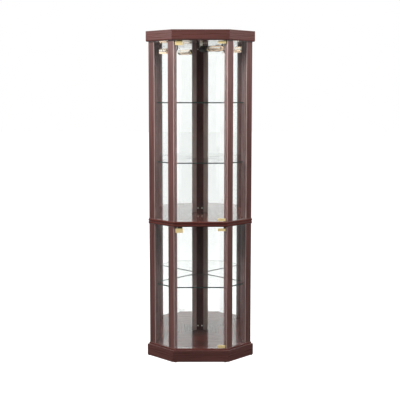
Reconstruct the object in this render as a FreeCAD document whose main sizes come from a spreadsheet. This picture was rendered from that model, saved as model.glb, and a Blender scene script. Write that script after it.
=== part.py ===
"""Corner curio cabinet: two glazed units stacked on a plinth, with mirrored backs and a lamp.

Frame: millimetres, +Z up, +X to the right seen from the front, the front faces -Y.
The origin is the bottom centre of the cabinet's box.

In plan the cabinet is a pentagon: a front, two facets turned 45 degrees and two walls that meet
in a right angle at the back.  Each side has a plan frame of its own, which starts at the outer
corner where facet and wall meet: "along" runs beside the wall towards the back corner, and
"across" runs beside the facet towards the front.
"""

import FreeCAD
import Part
import Sketcher
import math
import os

VECTOR = FreeCAD.Vector
LEFT = -1
RIGHT = 1
SIDE_NAMES = {LEFT: "left", RIGHT: "right"}

doc = FreeCAD.newDocument("corner_curio_cabinet")
sheet = doc.addObject("Spreadsheet::Sheet", "Sizes")
nodes = []

DRIVING_SIZES = (
    # the whole cabinet
    ("overall_height", 1829.0),
    ("overall_width", 603.0),
    ("front_width", 311.0),
    ("joint_height", 774.0),
    # plinth and cornice
    ("plinth_height", 66.0),
    ("plinth_thickness", 16.0),
    ("glide_height", 2.5),
    ("glide_radius", 9.0),
    ("glide_setback", 9.0),
    ("glide_inset", 17.5),
    ("cornice_height", 57.0),
    ("cornice_thickness", 12.0),
    ("cornice_lip_radius", 8.0),
    ("top_panel_thickness", 9.0),
    ("top_panel_sink", 3.0),
    ("arris", 1.5),
    # boards with a rounded edge
    ("board_thickness", 15.0),
    ("board_rise", 9.0),
    ("board_lip", 6.0),
    ("bullnose_radius", 7.0),
    ("fit_gap", 0.3),
    # posts
    ("post_width", 46.0),
    ("post_thickness", 24.0),
    ("facet_setback", 17.0),
    ("front_setback", 14.5),
    ("wall_setback", 2.0),
    ("back_post_width", 51.5),
    ("back_post_thickness", 8.0),
    ("corner_wing", 73.0),
    ("corner_face", 40.0),
    ("rebate_width", 8.0),
    # glass
    ("pane_thickness", 4.0),
    ("pane_recess", 8.0),
    ("groove_depth", 6.0),
    ("pane_gap", 0.25),
    ("mirror_thickness", 3.0),
    ("backing_thickness", 3.0),
    ("shelf_thickness", 6.0),
    ("shelf_front_setback", 45.0),
    ("shelf_gap", 1.0),
    ("lower_shelf_height", 411.0),
    ("middle_shelf_height", 1105.0),
    ("top_shelf_height", 1435.0),
    # doors
    ("door_thickness", 4.0),
    ("door_setback", 16.5),
    ("door_latch_gap", 8.0),
    ("door_hinge_gap", 9.8),
    ("door_foot_gap", 4.0),
    ("upper_door_head_gap", 4.0),
    ("lower_door_head_gap", 10.0),
    ("glass_arris", 0.8),
    # door hardware
    ("hinge_axis_inset", 14.2),
    ("clamp_length", 42.0),
    ("clamp_rise", 13.0),
    ("clamp_wall", 1.6),
    ("clamp_bridge", 1.5),
    ("clamp_grip_gap", 0.2),
    ("clamp_overhang", 5.4),
    ("pin_radius", 2.5),
    ("pin_length", 8.0),
    ("pin_clearance", 0.05),
    ("bush_wall", 2.0),
    ("bush_depth", 8.0),
    ("bush_flange", 1.0),
    ("bush_running_gap", 0.2),
    ("strike_inset", 1.0),
    ("strike_width", 40.0),
    ("strike_height", 22.0),
    ("strike_wall", 1.2),
    ("latch_inset", 32.0),
    ("latch_width", 28.0),
    ("latch_height", 20.0),
    ("latch_drop", 13.5),
    ("latch_length", 56.0),
    ("latch_setback", 33.0),
    ("latch_round", 2.0),
    ("plunger_radius", 4.5),
    ("plunger_clearance", 0.35),
    ("plunger_contact_gap", 0.1),
    ("plunger_tail", 22.0),
    ("plunger_travel", 4.0),
    # shelf pegs
    ("peg_radius", 2.4),
    ("peg_hole_clearance", 0.1),
    ("peg_depth", 9.0),
    ("peg_reach", 9.0),
    ("peg_spread", 24.0),
    # bolts between the two units
    ("bolt_radius", 3.0),
    ("bolt_clearance", 0.3),
    ("bolt_bite", 10.0),
    ("bolt_head_radius", 7.0),
    ("bolt_head_height", 2.0),
    ("bolt_spread", 90.0),
    ("bolt_front_setback", 110.0),
    ("bolt_corner_setback", 97.5),
    # lamp
    ("lamp_corner_gap", 125.0),
    ("lamp_shift", 6.0),
    ("lamp_drop", 33.0),
    ("lamp_turn", 39.0),
    ("socket_radius", 18.5),
    ("socket_length", 48.0),
    ("socket_end_round", 3.0),
    ("screw_shell_radius", 13.0),
    ("screw_shell_length", 24.0),
    ("screw_shell_show", 8.0),
    ("bulb_neck_radius", 11.0),
    ("bulb_neck_length", 12.0),
    ("bulb_radius", 16.0),
    ("bulb_length", 106.0),
    ("bracket_width", 24.0),
    ("bracket_sheet", 1.5),
    ("bracket_foot", 34.0),
    ("lead_radius", 3.0),
    ("lead_bend", 12.0),
    ("lead_tail", 26.0),
    ("lead_rise", 14.0),
    ("grommet_radius", 6.0),
    ("grommet_flange_radius", 9.0),
    ("grommet_flange", 2.0),
    ("grommet_gap", 0.3),
)

for row, (alias, number) in enumerate(DRIVING_SIZES, start=1):
    sheet.set(f"A{row}", alias)
    sheet.set(f"B{row}", f"{number}")
    sheet.setAlias(f"B{row}", alias)
doc.recompute()


def size(alias):
    """Write a size of the sheet the way an expression names it."""
    return f"Sizes.{alias}"


def value(expression):
    """Work out an expression over the sheet, in millimetres."""
    return float(sheet.evalExpression(expression))


# plan of the pentagon, as expressions over the sheet
ROOT_TWO = "sqrt(2)"
HALF_WIDTH = "(Sizes.overall_width / 2)"
HALF_FRONT = "(Sizes.front_width / 2)"
FACET_DEPTH = "((Sizes.overall_width - Sizes.front_width) / 2)"
FRONT_Y = f"(-({FACET_DEPTH} + {HALF_WIDTH}) / 2)"
OUTER_CORNER_Y = f"({FRONT_Y} + {FACET_DEPTH})"
BACK_Y = f"({OUTER_CORNER_Y} + {HALF_WIDTH})"
WALL_LENGTH = f"({HALF_WIDTH} * {ROOT_TWO})"

# posts: along the wall, "facet" faces; across, towards the front
POST_OUTER = size("facet_setback")
POST_INNER = "(Sizes.facet_setback + Sizes.post_thickness)"
FRONT_POST_TIP = f"(Sizes.facet_setback + ({FACET_DEPTH} - Sizes.front_setback) * {ROOT_TWO})"
FRONT_POST_TAIL = f"({FRONT_POST_TIP} - Sizes.post_width)"
SIDE_POST_TAIL = size("wall_setback")
SIDE_POST_TIP = "(Sizes.wall_setback + Sizes.post_width)"
GROOVE_OUTER = "(Sizes.facet_setback + Sizes.pane_recess)"
GROOVE_INNER = f"({GROOVE_OUTER} + Sizes.pane_thickness + 2 * Sizes.pane_gap)"
BACK_POST_END = f"({POST_INNER} + Sizes.back_post_width)"
BACK_POST_FACE = "(Sizes.wall_setback + Sizes.back_post_thickness)"
MIRROR_BACK = "(Sizes.wall_setback + Sizes.backing_thickness)"
MIRROR_FACE = f"({MIRROR_BACK} + Sizes.mirror_thickness)"
WING_END = f"({WALL_LENGTH} - Sizes.corner_wing)"
CORNER_FACE_Y = f"({BACK_Y} - {BACK_POST_FACE} * {ROOT_TWO} - Sizes.corner_face / 2)"

# levels
LOWER_FLOOR = "(Sizes.plinth_height + Sizes.board_rise)"
LOWER_CEILING = "(Sizes.joint_height - Sizes.board_thickness)"
UPPER_FLOOR = "(Sizes.joint_height + Sizes.board_thickness)"
UPPER_CEILING = "(Sizes.overall_height - Sizes.cornice_height)"
UNITS = {"lower": (LOWER_FLOOR, LOWER_CEILING), "upper": (UPPER_FLOOR, UPPER_CEILING)}
SHELVES = {
    "lower_shelf": ("lower", size("lower_shelf_height")),
    "middle_shelf": ("upper", size("middle_shelf_height")),
    "top_shelf": ("upper", size("top_shelf_height")),
}

# lamp and lead: the lead leaves the socket backwards and turns up through the ceiling into the
# space inside the cornice; its outlet is square to it in the left wall board
LAMP_X = size("lamp_shift")
LAMP_Y = f"({CORNER_FACE_Y} - Sizes.lamp_corner_gap)"
LAMP_LEVEL = f"({UPPER_CEILING} - Sizes.lamp_drop)"
LEAD_X = f"({LAMP_X} - Sizes.lead_tail * cos(Sizes.lamp_turn * 1 deg))"
LEAD_Y = f"({LAMP_Y} + Sizes.lead_tail * sin(Sizes.lamp_turn * 1 deg))"
LEAD_RUN_RISE = "(Sizes.board_thickness + Sizes.lead_rise)"
LEAD_ALONG = f"(({LEAD_Y} - {OUTER_CORNER_Y} + {LEAD_X} + {HALF_WIDTH}) / {ROOT_TWO})"
GROMMET_HOLE = "(Sizes.grommet_radius + Sizes.grommet_gap)"

# door and hinge line
DOOR_FACE_Y = f"({FRONT_Y} + Sizes.door_setback)"
OPENING_REACH = f"({HALF_FRONT} - {ROOT_TWO} * Sizes.facet_setback + Sizes.front_setback)"
DOOR_LATCH_REACH = f"({OPENING_REACH} - Sizes.door_latch_gap)"
DOOR_HINGE_REACH = f"({OPENING_REACH} - Sizes.door_hinge_gap)"
HINGE_X = f"({OPENING_REACH} - Sizes.hinge_axis_inset)"
HINGE_Y = f"({DOOR_FACE_Y} + Sizes.door_thickness / 2)"
BUSH_RADIUS = "(Sizes.pin_radius + Sizes.pin_clearance + Sizes.bush_wall)"
LATCH_X = f"(Sizes.latch_inset - {OPENING_REACH})"
LATCH_Y = f"({FRONT_Y} + Sizes.latch_setback)"


def add_body(name, base=("0", "0", "0"), rotation=None):
    """Start a body whose place follows the sheet."""
    body = doc.addObject("PartDesign::Body", name)
    body.Label = name
    if rotation is not None:
        body.Placement = FreeCAD.Placement(VECTOR(), rotation)
    for axis, expression in zip("xyz", base):
        if expression != "0":
            body.setExpression(f"Placement.Base.{axis}", expression)
    return body


def keep(item, name=None):
    """Put a finished object on the list of sub-parts."""
    if name is not None:
        item.Label = name
    nodes.append(item)
    return item


def origin_plane(body, role):
    """Find one of a body's own origin planes."""
    return next(feature for feature in body.Origin.OriginFeatures if feature.Role == role)


def start_sketch(body, name, plane, offset):
    """Attach an empty sketch to an origin plane, moved along its normal by an expression."""
    sketch = body.newObject("Sketcher::SketchObject", name)
    sketch.AttachmentSupport = (origin_plane(body, plane), [""])
    sketch.MapMode = "FlatFace"
    if offset != "0":
        sketch.setExpression("AttachmentOffset.Base.z", offset)
    return sketch


def fix_point(sketch, geometry, position, x_expression, y_expression):
    """Tie one point of a sketch to two expressions."""
    for kind, expression, axis in (("DistanceX", x_expression, -2), ("DistanceY", y_expression, -1)):
        if expression == "0":
            sketch.addConstraint(Sketcher.Constraint("PointOnObject", geometry, position, axis))
            continue
        index = sketch.addConstraint(
            Sketcher.Constraint(kind, -1, 1, geometry, position, value(expression))
        )
        sketch.setExpression(f"Constraints[{index}]", expression)


def polygon_sketch(body, name, corners, plane="XY_Plane", offset="0"):
    """Sketch a closed outline through corners given as pairs of expressions."""
    sketch = start_sketch(body, name, plane, offset)
    points = [VECTOR(value(x), value(y), 0) for x, y in corners]
    count = len(points)
    for index, point in enumerate(points):
        sketch.addGeometry(Part.LineSegment(point, points[(index + 1) % count]), False)
    for index in range(count):
        sketch.addConstraint(Sketcher.Constraint("Coincident", index, 2, (index + 1) % count, 1))
    for index, (x, y) in enumerate(corners):
        fix_point(sketch, index, 1, x, y)
    return sketch


def circles_sketch(body, name, centres, radius, plane="XY_Plane", offset="0"):
    """Sketch equal circles round centres given as pairs of expressions."""
    sketch = start_sketch(body, name, plane, offset)
    for index, (x, y) in enumerate(centres):
        centre = VECTOR(value(x), value(y), 0)
        sketch.addGeometry(Part.Circle(centre, VECTOR(0, 0, 1), value(radius)), False)
        fix_point(sketch, index, 3, x, y)
        constraint = sketch.addConstraint(Sketcher.Constraint("Radius", index, value(radius)))
        sketch.setExpression(f"Constraints[{constraint}]", radius)
    return sketch


def pad(body, sketch, length, down=False):
    """Raise a sketch by an expression."""
    feature = body.newObject("PartDesign::Pad", f"{body.Name}_pad")
    feature.Profile = sketch
    feature.setExpression("Length", length)
    feature.Reversed = down
    doc.recompute()
    return feature


def pocket(body, sketch, depth, along_normal=False):
    """Sink a sketch by an expression, and see that it cut something."""
    before = body.Shape.Volume
    feature = body.newObject("PartDesign::Pocket", f"{body.Name}_pocket")
    feature.Profile = sketch
    feature.setExpression("Length", depth)
    feature.Reversed = along_normal
    doc.recompute()
    if body.Shape.Volume > before - 1.0:
        raise RuntimeError(f"the pocket of {body.Label} cut nothing")
    return feature


def soften(body, feature, chosen, radius, kind="Fillet"):
    """Round or chamfer the edges of a feature that a test picks by their middle point."""
    names = []
    for index, edge in enumerate(feature.Shape.Edges, start=1):
        middle = edge.valueAt((edge.FirstParameter + edge.LastParameter) / 2)
        if chosen(edge, middle):
            names.append(f"Edge{index}")
    dressing = body.newObject(f"PartDesign::{kind}", f"{body.Name}_{kind.lower()}")
    dressing.Base = (feature, names)
    dressing.setExpression("Radius" if kind == "Fillet" else "Size", radius)
    doc.recompute()
    return dressing


def is_upright(edge):
    """Tell whether an edge stands along Z."""
    direction = edge.tangentAt(edge.FirstParameter)
    return abs(direction.z) > 0.999


def near(first, second):
    """Tell whether two lengths are the same."""
    return abs(first - second) < 0.01


def plan_point(side, along, across):
    """Turn a place in one side's plan frame into X and Y expressions."""
    x = f"({side} * ({HALF_WIDTH} - ({along} + {across}) / {ROOT_TWO}))"
    y = f"({OUTER_CORNER_Y} + ({along} - {across}) / {ROOT_TWO})"
    return x, y


def pentagon(front_inset, facet_inset, wall_inset):
    """Give the corners of the plan outline, set in from its faces."""
    front_x = f"({HALF_FRONT} - {ROOT_TWO} * {facet_inset} + {front_inset})"
    front_y = f"({FRONT_Y} + {front_inset})"
    return (
        (f"-{front_x}", front_y),
        (front_x, front_y),
        plan_point(RIGHT, facet_inset, wall_inset),
        ("0", f"({BACK_Y} - {ROOT_TWO} * {wall_inset})"),
        plan_point(LEFT, facet_inset, wall_inset),
    )


def side_body(name, side, level):
    """Start a body in one side's plan frame: its X runs across, its Y along times -side."""
    turn = FreeCAD.Rotation(VECTOR(0, 0, 1), -45 if side == LEFT else -135)
    base = (f"{side} * {HALF_WIDTH}", OUTER_CORNER_Y, level)
    return add_body(name, base, turn)


def side_corners(side, corners):
    """Turn (across, along) pairs into the sketch frame of a side body."""
    return [(across, f"({-side} * {along})") for across, along in corners]


def side_prism(name, side, level, height, corners):
    """Stand a closed section of (across, along) corners on a level."""
    body = side_body(name, side, level)
    sketch = polygon_sketch(body, f"{name}_section", side_corners(side, corners))
    return body, pad(body, sketch, height)


def unit_height(unit):
    """Give the clear height between a unit's two boards."""
    floor, ceiling = UNITS[unit]
    return f"({ceiling} - {floor})"


# ---------------------------------------------------------------- plinth and cornice boards


def ring_board_corners(side, thickness):
    """Give the plan corners of a facet board, mitred at the front and square at the wall."""
    inner_front_x = f"({side} * ({HALF_FRONT} - {ROOT_TWO} * {thickness} + {thickness}))"
    return (
        (f"({side} * {HALF_FRONT})", FRONT_Y),
        plan_point(side, "0", "0"),
        plan_point(side, thickness, "0"),
        (inner_front_x, f"({FRONT_Y} + {thickness})"),
    )


def front_board_corners(thickness):
    """Give the plan corners of the front board, mitred at both ends."""
    inner = f"({HALF_FRONT} - {ROOT_TWO} * {thickness} + {thickness})"
    return (
        (f"-{HALF_FRONT}", FRONT_Y),
        (HALF_FRONT, FRONT_Y),
        (inner, f"({FRONT_Y} + {thickness})"),
        (f"-{inner}", f"({FRONT_Y} + {thickness})"),
    )


def outward_reach(point):
    """Measure how far a plan point stands in from the nearest of the front and the facets."""
    facet = (value(HALF_FRONT) + point.y - value(FRONT_Y) - abs(point.x)) / 2**0.5
    return min(point.y - value(FRONT_Y), facet)


def edge_board(name, corners, level, height, rounded_at, radius):
    """Stand a plinth or cornice board and round its long outer edge at the given height."""
    body = add_body(name, ("0", "0", level))
    board = pad(body, polygon_sketch(body, f"{name}_plan", corners), height)
    edge_level = value(rounded_at)
    soften(
        body,
        board,
        lambda edge, middle: near(middle.z, edge_level) and near(outward_reach(middle), 0),
        radius,
    )
    return keep(body)


PLINTH_PLAN = size("plinth_thickness")
CORNICE_PLAN = size("cornice_thickness")
CORNICE_LEVEL = UPPER_CEILING
GLIDE_TOP = size("glide_height")
PLINTH_BOARD_HEIGHT = "(Sizes.plinth_height - Sizes.glide_height)"

edge_board(
    "plinth_front_board",
    front_board_corners(PLINTH_PLAN),
    GLIDE_TOP,
    PLINTH_BOARD_HEIGHT,
    PLINTH_BOARD_HEIGHT,
    size("arris"),
)
edge_board(
    "cornice_front_board",
    front_board_corners(CORNICE_PLAN),
    CORNICE_LEVEL,
    size("cornice_height"),
    "0",
    size("cornice_lip_radius"),
)
for side, side_name in SIDE_NAMES.items():
    edge_board(
        f"plinth_{side_name}_board",
        ring_board_corners(side, PLINTH_PLAN),
        GLIDE_TOP,
        PLINTH_BOARD_HEIGHT,
        PLINTH_BOARD_HEIGHT,
        size("arris"),
    )
    edge_board(
        f"cornice_{side_name}_board",
        ring_board_corners(side, CORNICE_PLAN),
        CORNICE_LEVEL,
        size("cornice_height"),
        "0",
        size("cornice_lip_radius"),
    )


def wall_boards(name, thickness, level, height):
    """Stand the two boards that run beside the walls and are mitred in the back corner."""
    corners = (
        ("0", thickness),
        ("0", WALL_LENGTH),
        (thickness, f"({WALL_LENGTH} - {thickness})"),
        (thickness, thickness),
    )
    return {
        side: side_prism(f"{name}_{side_name}", side, level, height, corners)[0]
        for side, side_name in SIDE_NAMES.items()
    }


def keep_group(name, members):
    """Join several pieces of one kind into one sub-part."""
    group = doc.addObject("Part::Compound", name)
    group.Links = list(members)
    doc.recompute()
    return keep(group, name)


plinth_walls = wall_boards("plinth_wall_board", PLINTH_PLAN, GLIDE_TOP, PLINTH_BOARD_HEIGHT)
keep_group("plinth_back_boards", plinth_walls.values())
cornice_walls = wall_boards("cornice_wall_board", CORNICE_PLAN, CORNICE_LEVEL, size("cornice_height"))
outlet = circles_sketch(
    cornice_walls[LEFT], "lead_outlet", [(LEAD_ALONG, LEAD_RUN_RISE)], GROMMET_HOLE, "YZ_Plane"
)
pocket(cornice_walls[LEFT], outlet, CORNICE_PLAN, along_normal=True)
keep_group("cornice_back_boards", cornice_walls.values())

top_inset = f"({CORNICE_PLAN} + Sizes.fit_gap)"
top_panel_level = "(Sizes.overall_height - Sizes.top_panel_sink - Sizes.top_panel_thickness)"
top_panel = add_body("top_panel", ("0", "0", top_panel_level))
pad(
    top_panel,
    polygon_sketch(top_panel, "top_panel_plan", pentagon(top_inset, top_inset, top_inset)),
    size("top_panel_thickness"),
)
keep(top_panel)


# ---------------------------------------------------------------- floor and ceiling boards

BOARD_FRONT = "(Sizes.front_setback - Sizes.board_lip)"
BOARD_FACET = "(Sizes.facet_setback - Sizes.board_lip)"
BOARD_WALL = size("wall_setback")


def is_show_edge(middle, level):
    """Tell whether a point is on the front or a facet of a board, at a level."""
    return near(middle.z, level) and middle.y < value(OUTER_CORNER_Y) and abs(middle.x) < value(HALF_WIDTH)


def bush_hole(body, level, opens_up):
    """Sink the seat of a hinge bush into a board."""
    sketch = circles_sketch(
        body, f"{body.Name}_bush_seat", [(HINGE_X, HINGE_Y)], BUSH_RADIUS, offset=level
    )
    return pocket(body, sketch, size("bush_depth"), along_normal=not opens_up)


def rounded_board(name, level, levels_to_round, bush_level, opens_up):
    """Lay a board of full outline and round its show edges."""
    body = add_body(name, ("0", "0", level))
    sketch = polygon_sketch(body, f"{name}_plan", pentagon(BOARD_FRONT, BOARD_FACET, BOARD_WALL))
    slab = pad(body, sketch, size("board_thickness"))
    rounded = [value(item) for item in levels_to_round]
    soften(
        body,
        slab,
        lambda edge, middle: any(is_show_edge(middle, item) for item in rounded),
        size("bullnose_radius"),
    )
    bush_hole(body, bush_level, opens_up)
    return keep(body)


# the lower floor sits half inside the plinth and half on top of it
sunk_depth = "(Sizes.board_thickness - Sizes.board_rise)"
sunk_inset = f"({PLINTH_PLAN} + Sizes.fit_gap)"
lower_floor = add_body("lower_floor_board", ("0", "0", f"({LOWER_FLOOR} - Sizes.board_thickness)"))
pad(
    lower_floor,
    polygon_sketch(lower_floor, "sunk_plan", pentagon(sunk_inset, sunk_inset, sunk_inset)),
    sunk_depth,
)
raised = pad(
    lower_floor,
    polygon_sketch(
        lower_floor, "raised_plan", pentagon(BOARD_FRONT, BOARD_FACET, BOARD_WALL), offset=sunk_depth
    ),
    size("board_rise"),
)
board_top = value(size("board_thickness"))
soften(
    lower_floor,
    raised,
    lambda edge, middle: is_show_edge(middle, board_top) and not is_upright(edge),
    size("bullnose_radius"),
)
bush_hole(lower_floor, size("board_thickness"), opens_up=True)
keep(lower_floor)

BOLT_ROWS = (f"({FRONT_Y} + Sizes.bolt_front_setback)", f"({BACK_Y} - Sizes.bolt_corner_setback)")
BOLT_PLACES = [(f"({side} * Sizes.bolt_spread / 2)", row) for row in BOLT_ROWS for side in SIDE_NAMES]
BOLT_HOLE = "(Sizes.bolt_radius + Sizes.bolt_clearance)"

both_faces = ("0", size("board_thickness"))
lower_top = rounded_board("lower_top_board", LOWER_CEILING, both_faces, "0", opens_up=False)
through = circles_sketch(lower_top, "bolt_holes", BOLT_PLACES, BOLT_HOLE)
pocket(lower_top, through, size("board_thickness"), along_normal=True)
upper_floor = rounded_board(
    "upper_floor_board", size("joint_height"), both_faces, size("board_thickness"), opens_up=True
)
blind = circles_sketch(upper_floor, "bolt_seats", BOLT_PLACES, BOLT_HOLE)
pocket(upper_floor, blind, "(Sizes.bolt_bite + Sizes.bolt_clearance)", along_normal=True)

ceiling_inset = f"({CORNICE_PLAN} + Sizes.fit_gap)"
upper_top = add_body("upper_top_board", ("0", "0", UPPER_CEILING))
pad(
    upper_top,
    polygon_sketch(upper_top, "ceiling_plan", pentagon(ceiling_inset, ceiling_inset, ceiling_inset)),
    size("board_thickness"),
)
bush_hole(upper_top, "0", opens_up=False)
lead_hole = circles_sketch(upper_top, "lead_hole", [(LEAD_X, LEAD_Y)], GROMMET_HOLE)
pocket(upper_top, lead_hole, size("board_thickness"), along_normal=True)
keep(upper_top)


# ---------------------------------------------------------------- posts, panes and mirrors

PEG_HOLE_RADIUS = "(Sizes.peg_radius + Sizes.peg_hole_clearance)"
PEG_HOLE_DEPTH = "(Sizes.peg_depth + Sizes.fit_gap)"
FRONT_PEG_ACROSS = f"({FRONT_POST_TAIL} + Sizes.post_width / 2)"
SIDE_PEG_ACROSS = f"({SIDE_POST_TAIL} + Sizes.post_width / 2)"


def unit_shelf_pegs(unit):
    """Give the height of the peg axes below each shelf of a unit, from the unit's floor."""
    floor = UNITS[unit][0]
    return [
        f"({height} - Sizes.peg_radius - {floor})"
        for shelf_unit, height in SHELVES.values()
        if shelf_unit == unit
    ]


def drill_side_post(body, side, unit, across):
    """Drill the shelf peg holes into the inner face of a post."""
    centres = [(across, height) for height in unit_shelf_pegs(unit)]
    sketch = circles_sketch(
        body,
        f"{body.Name}_peg_holes",
        centres,
        PEG_HOLE_RADIUS,
        plane="XZ_Plane",
        offset=f"({side} * {POST_INNER})",
    )
    pocket(body, sketch, PEG_HOLE_DEPTH, along_normal=side == LEFT)


def grooved_post(name, side, unit, tail, tip, groove_at_tip):
    """Stand a post of the facet frame, with the pane's groove in one edge and eased arrises."""
    if groove_at_tip:
        mouth, bottom = tip, f"({tip} - Sizes.groove_depth)"
        corners = (
            (tail, POST_OUTER),
            (tip, POST_OUTER),
            (mouth, GROOVE_OUTER),
            (bottom, GROOVE_OUTER),
            (bottom, GROOVE_INNER),
            (mouth, GROOVE_INNER),
            (tip, POST_INNER),
            (tail, POST_INNER),
        )
    else:
        mouth, bottom = tail, f"({tail} + Sizes.groove_depth)"
        corners = (
            (tip, POST_OUTER),
            (tip, POST_INNER),
            (tail, POST_INNER),
            (mouth, GROOVE_INNER),
            (bottom, GROOVE_INNER),
            (bottom, GROOVE_OUTER),
            (mouth, GROOVE_OUTER),
            (tail, POST_OUTER),
        )
    body, stem = side_prism(name, side, UNITS[unit][0], unit_height(unit), corners)
    outer = value(POST_OUTER)
    soften(
        body,
        stem,
        lambda edge, middle: is_upright(edge) and near(abs(middle.y), outer),
        size("arris"),
    )
    across = SIDE_PEG_ACROSS if groove_at_tip else FRONT_PEG_ACROSS
    drill_side_post(body, side, unit, across)
    return keep(body)


def back_post(unit, side):
    """Stand the flat post beside the mirror, with a rebate for the backing board."""
    name = f"{unit}_back_{SIDE_NAMES[side]}_post"
    rebate = f"({BACK_POST_END} - Sizes.rebate_width)"
    corners = (
        (SIDE_POST_TAIL, POST_INNER),
        (BACK_POST_FACE, POST_INNER),
        (BACK_POST_FACE, BACK_POST_END),
        (MIRROR_BACK, BACK_POST_END),
        (MIRROR_BACK, rebate),
        (SIDE_POST_TAIL, rebate),
    )
    body, _ = side_prism(name, side, UNITS[unit][0], unit_height(unit), corners)
    return body


def corner_post(unit):
    """Stand the corner post: a flat front between two wings that lie on the walls."""
    name = f"{unit}_corner_post"
    rebate = f"({WING_END} + Sizes.rebate_width)"
    half_face = "(Sizes.corner_face / 2)"
    right = [
        (half_face, CORNER_FACE_Y),
        plan_point(RIGHT, WING_END, BACK_POST_FACE),
        plan_point(RIGHT, WING_END, MIRROR_BACK),
        plan_point(RIGHT, rebate, MIRROR_BACK),
        plan_point(RIGHT, rebate, SIDE_POST_TAIL),
    ]
    left = [
        plan_point(LEFT, rebate, SIDE_POST_TAIL),
        plan_point(LEFT, rebate, MIRROR_BACK),
        plan_point(LEFT, WING_END, MIRROR_BACK),
        plan_point(LEFT, WING_END, BACK_POST_FACE),
        (f"-{half_face}", CORNER_FACE_Y),
    ]
    back = [("0", f"({BACK_Y} - {ROOT_TWO} * {SIDE_POST_TAIL})")]
    body = add_body(name, ("0", "0", UNITS[unit][0]))
    pad(body, polygon_sketch(body, f"{name}_section", right + back + left), unit_height(unit))
    centres = [
        (f"({end} * Sizes.peg_spread / 2)", height)
        for height in unit_shelf_pegs(unit)
        for end in (-1, 1)
    ]
    holes = circles_sketch(
        body, f"{name}_peg_holes", centres, PEG_HOLE_RADIUS, "XZ_Plane", f"(-{CORNER_FACE_Y})"
    )
    pocket(body, holes, PEG_HOLE_DEPTH)
    return keep(body)


def pane(unit, side):
    """Set the clear pane of a facet into the grooves of its two posts."""
    inner = f"({GROOVE_OUTER} + Sizes.pane_gap + Sizes.pane_thickness)"
    outer = f"({GROOVE_OUTER} + Sizes.pane_gap)"
    start = f"({SIDE_POST_TIP} - Sizes.groove_depth + Sizes.pane_gap)"
    end = f"({FRONT_POST_TAIL} + Sizes.groove_depth - Sizes.pane_gap)"
    corners = ((start, outer), (end, outer), (end, inner), (start, inner))
    name = f"{unit}_{SIDE_NAMES[side]}_pane"
    body, _ = side_prism(name, side, UNITS[unit][0], unit_height(unit), corners)
    return keep(body)


def mirror(unit, side):
    """Stand the mirror between the back post and the wing of the corner post."""
    start = f"({BACK_POST_END} + Sizes.fit_gap)"
    end = f"({WING_END} - Sizes.fit_gap)"
    corners = ((MIRROR_BACK, start), (MIRROR_FACE, start), (MIRROR_FACE, end), (MIRROR_BACK, end))
    name = f"{unit}_{SIDE_NAMES[side]}_mirror"
    body, _ = side_prism(name, side, UNITS[unit][0], unit_height(unit), corners)
    return keep(body)


def backing_boards(unit):
    """Stand the two thin boards behind the mirrors, in the rebates of their posts."""
    start = f"({BACK_POST_END} - Sizes.rebate_width + Sizes.fit_gap)"
    end = f"({WING_END} + Sizes.rebate_width - Sizes.fit_gap)"
    corners = (
        (SIDE_POST_TAIL, start),
        (MIRROR_BACK, start),
        (MIRROR_BACK, end),
        (SIDE_POST_TAIL, end),
    )
    boards = [
        side_prism(f"{unit}_{side_name}_backing", side, UNITS[unit][0], unit_height(unit), corners)[0]
        for side, side_name in SIDE_NAMES.items()
    ]
    return keep_group(f"{unit}_backing_boards", boards)


for unit in UNITS:
    for side, side_name in SIDE_NAMES.items():
        grooved_post(
            f"{unit}_front_{side_name}_post", side, unit, FRONT_POST_TAIL, FRONT_POST_TIP, False
        )
        grooved_post(f"{unit}_side_{side_name}_post", side, unit, SIDE_POST_TAIL, SIDE_POST_TIP, True)
        pane(unit, side)
        mirror(unit, side)
    keep_group(f"{unit}_back_posts", [back_post(unit, side) for side in SIDE_NAMES])
    corner_post(unit)
    backing_boards(unit)


# ---------------------------------------------------------------- shelves


def shelf(name, height):
    """Lay a glass shelf clear of the posts, with its back corner cut square."""
    facet = f"({POST_INNER} + Sizes.shelf_gap)"
    wall = f"({BACK_POST_FACE} + Sizes.shelf_gap)"
    outline = pentagon(size("shelf_front_setback"), facet, wall)
    cut_y = f"({CORNER_FACE_Y} - Sizes.shelf_gap)"
    cut_x = f"({BACK_Y} - {ROOT_TWO} * {wall} - {cut_y})"
    corners = outline[:3] + ((cut_x, cut_y), (f"-{cut_x}", cut_y)) + outline[4:]
    body = add_body(name, ("0", "0", height))
    slab = pad(body, polygon_sketch(body, f"{name}_plan", corners), size("shelf_thickness"))
    soften(body, slab, lambda edge, middle: not is_upright(edge), size("glass_arris"), "Chamfer")
    return keep(body)


for shelf_name, (_, shelf_height) in SHELVES.items():
    shelf(shelf_name, shelf_height)


# ---------------------------------------------------------------- doors

CLAMP_HALF = "(Sizes.door_thickness / 2 + Sizes.clamp_grip_gap)"
CLAMP_OUTER = f"({CLAMP_HALF} + Sizes.clamp_wall)"


def door_levels(unit):
    """Give the bottom and top of a door's glass."""
    floor, ceiling = UNITS[unit]
    return f"({floor} + Sizes.door_foot_gap)", f"({ceiling} - Sizes.{unit}_door_head_gap)"


def door_glass(unit):
    """Hang the frameless glass of a door."""
    name = f"{unit}_door_glass"
    bottom, top = door_levels(unit)
    body = add_body(name, ("0", DOOR_FACE_Y, bottom))
    corners = (
        (f"-{DOOR_LATCH_REACH}", "0"),
        (DOOR_HINGE_REACH, "0"),
        (DOOR_HINGE_REACH, size("door_thickness")),
        (f"-{DOOR_LATCH_REACH}", size("door_thickness")),
    )
    slab = pad(body, polygon_sketch(body, f"{name}_plan", corners), f"({top} - {bottom})")
    thickness = value(size("door_thickness"))
    soften(
        body,
        slab,
        lambda edge, middle: not near(edge.Length, thickness),
        size("glass_arris"),
        "Chamfer",
    )
    return keep(body)


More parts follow.
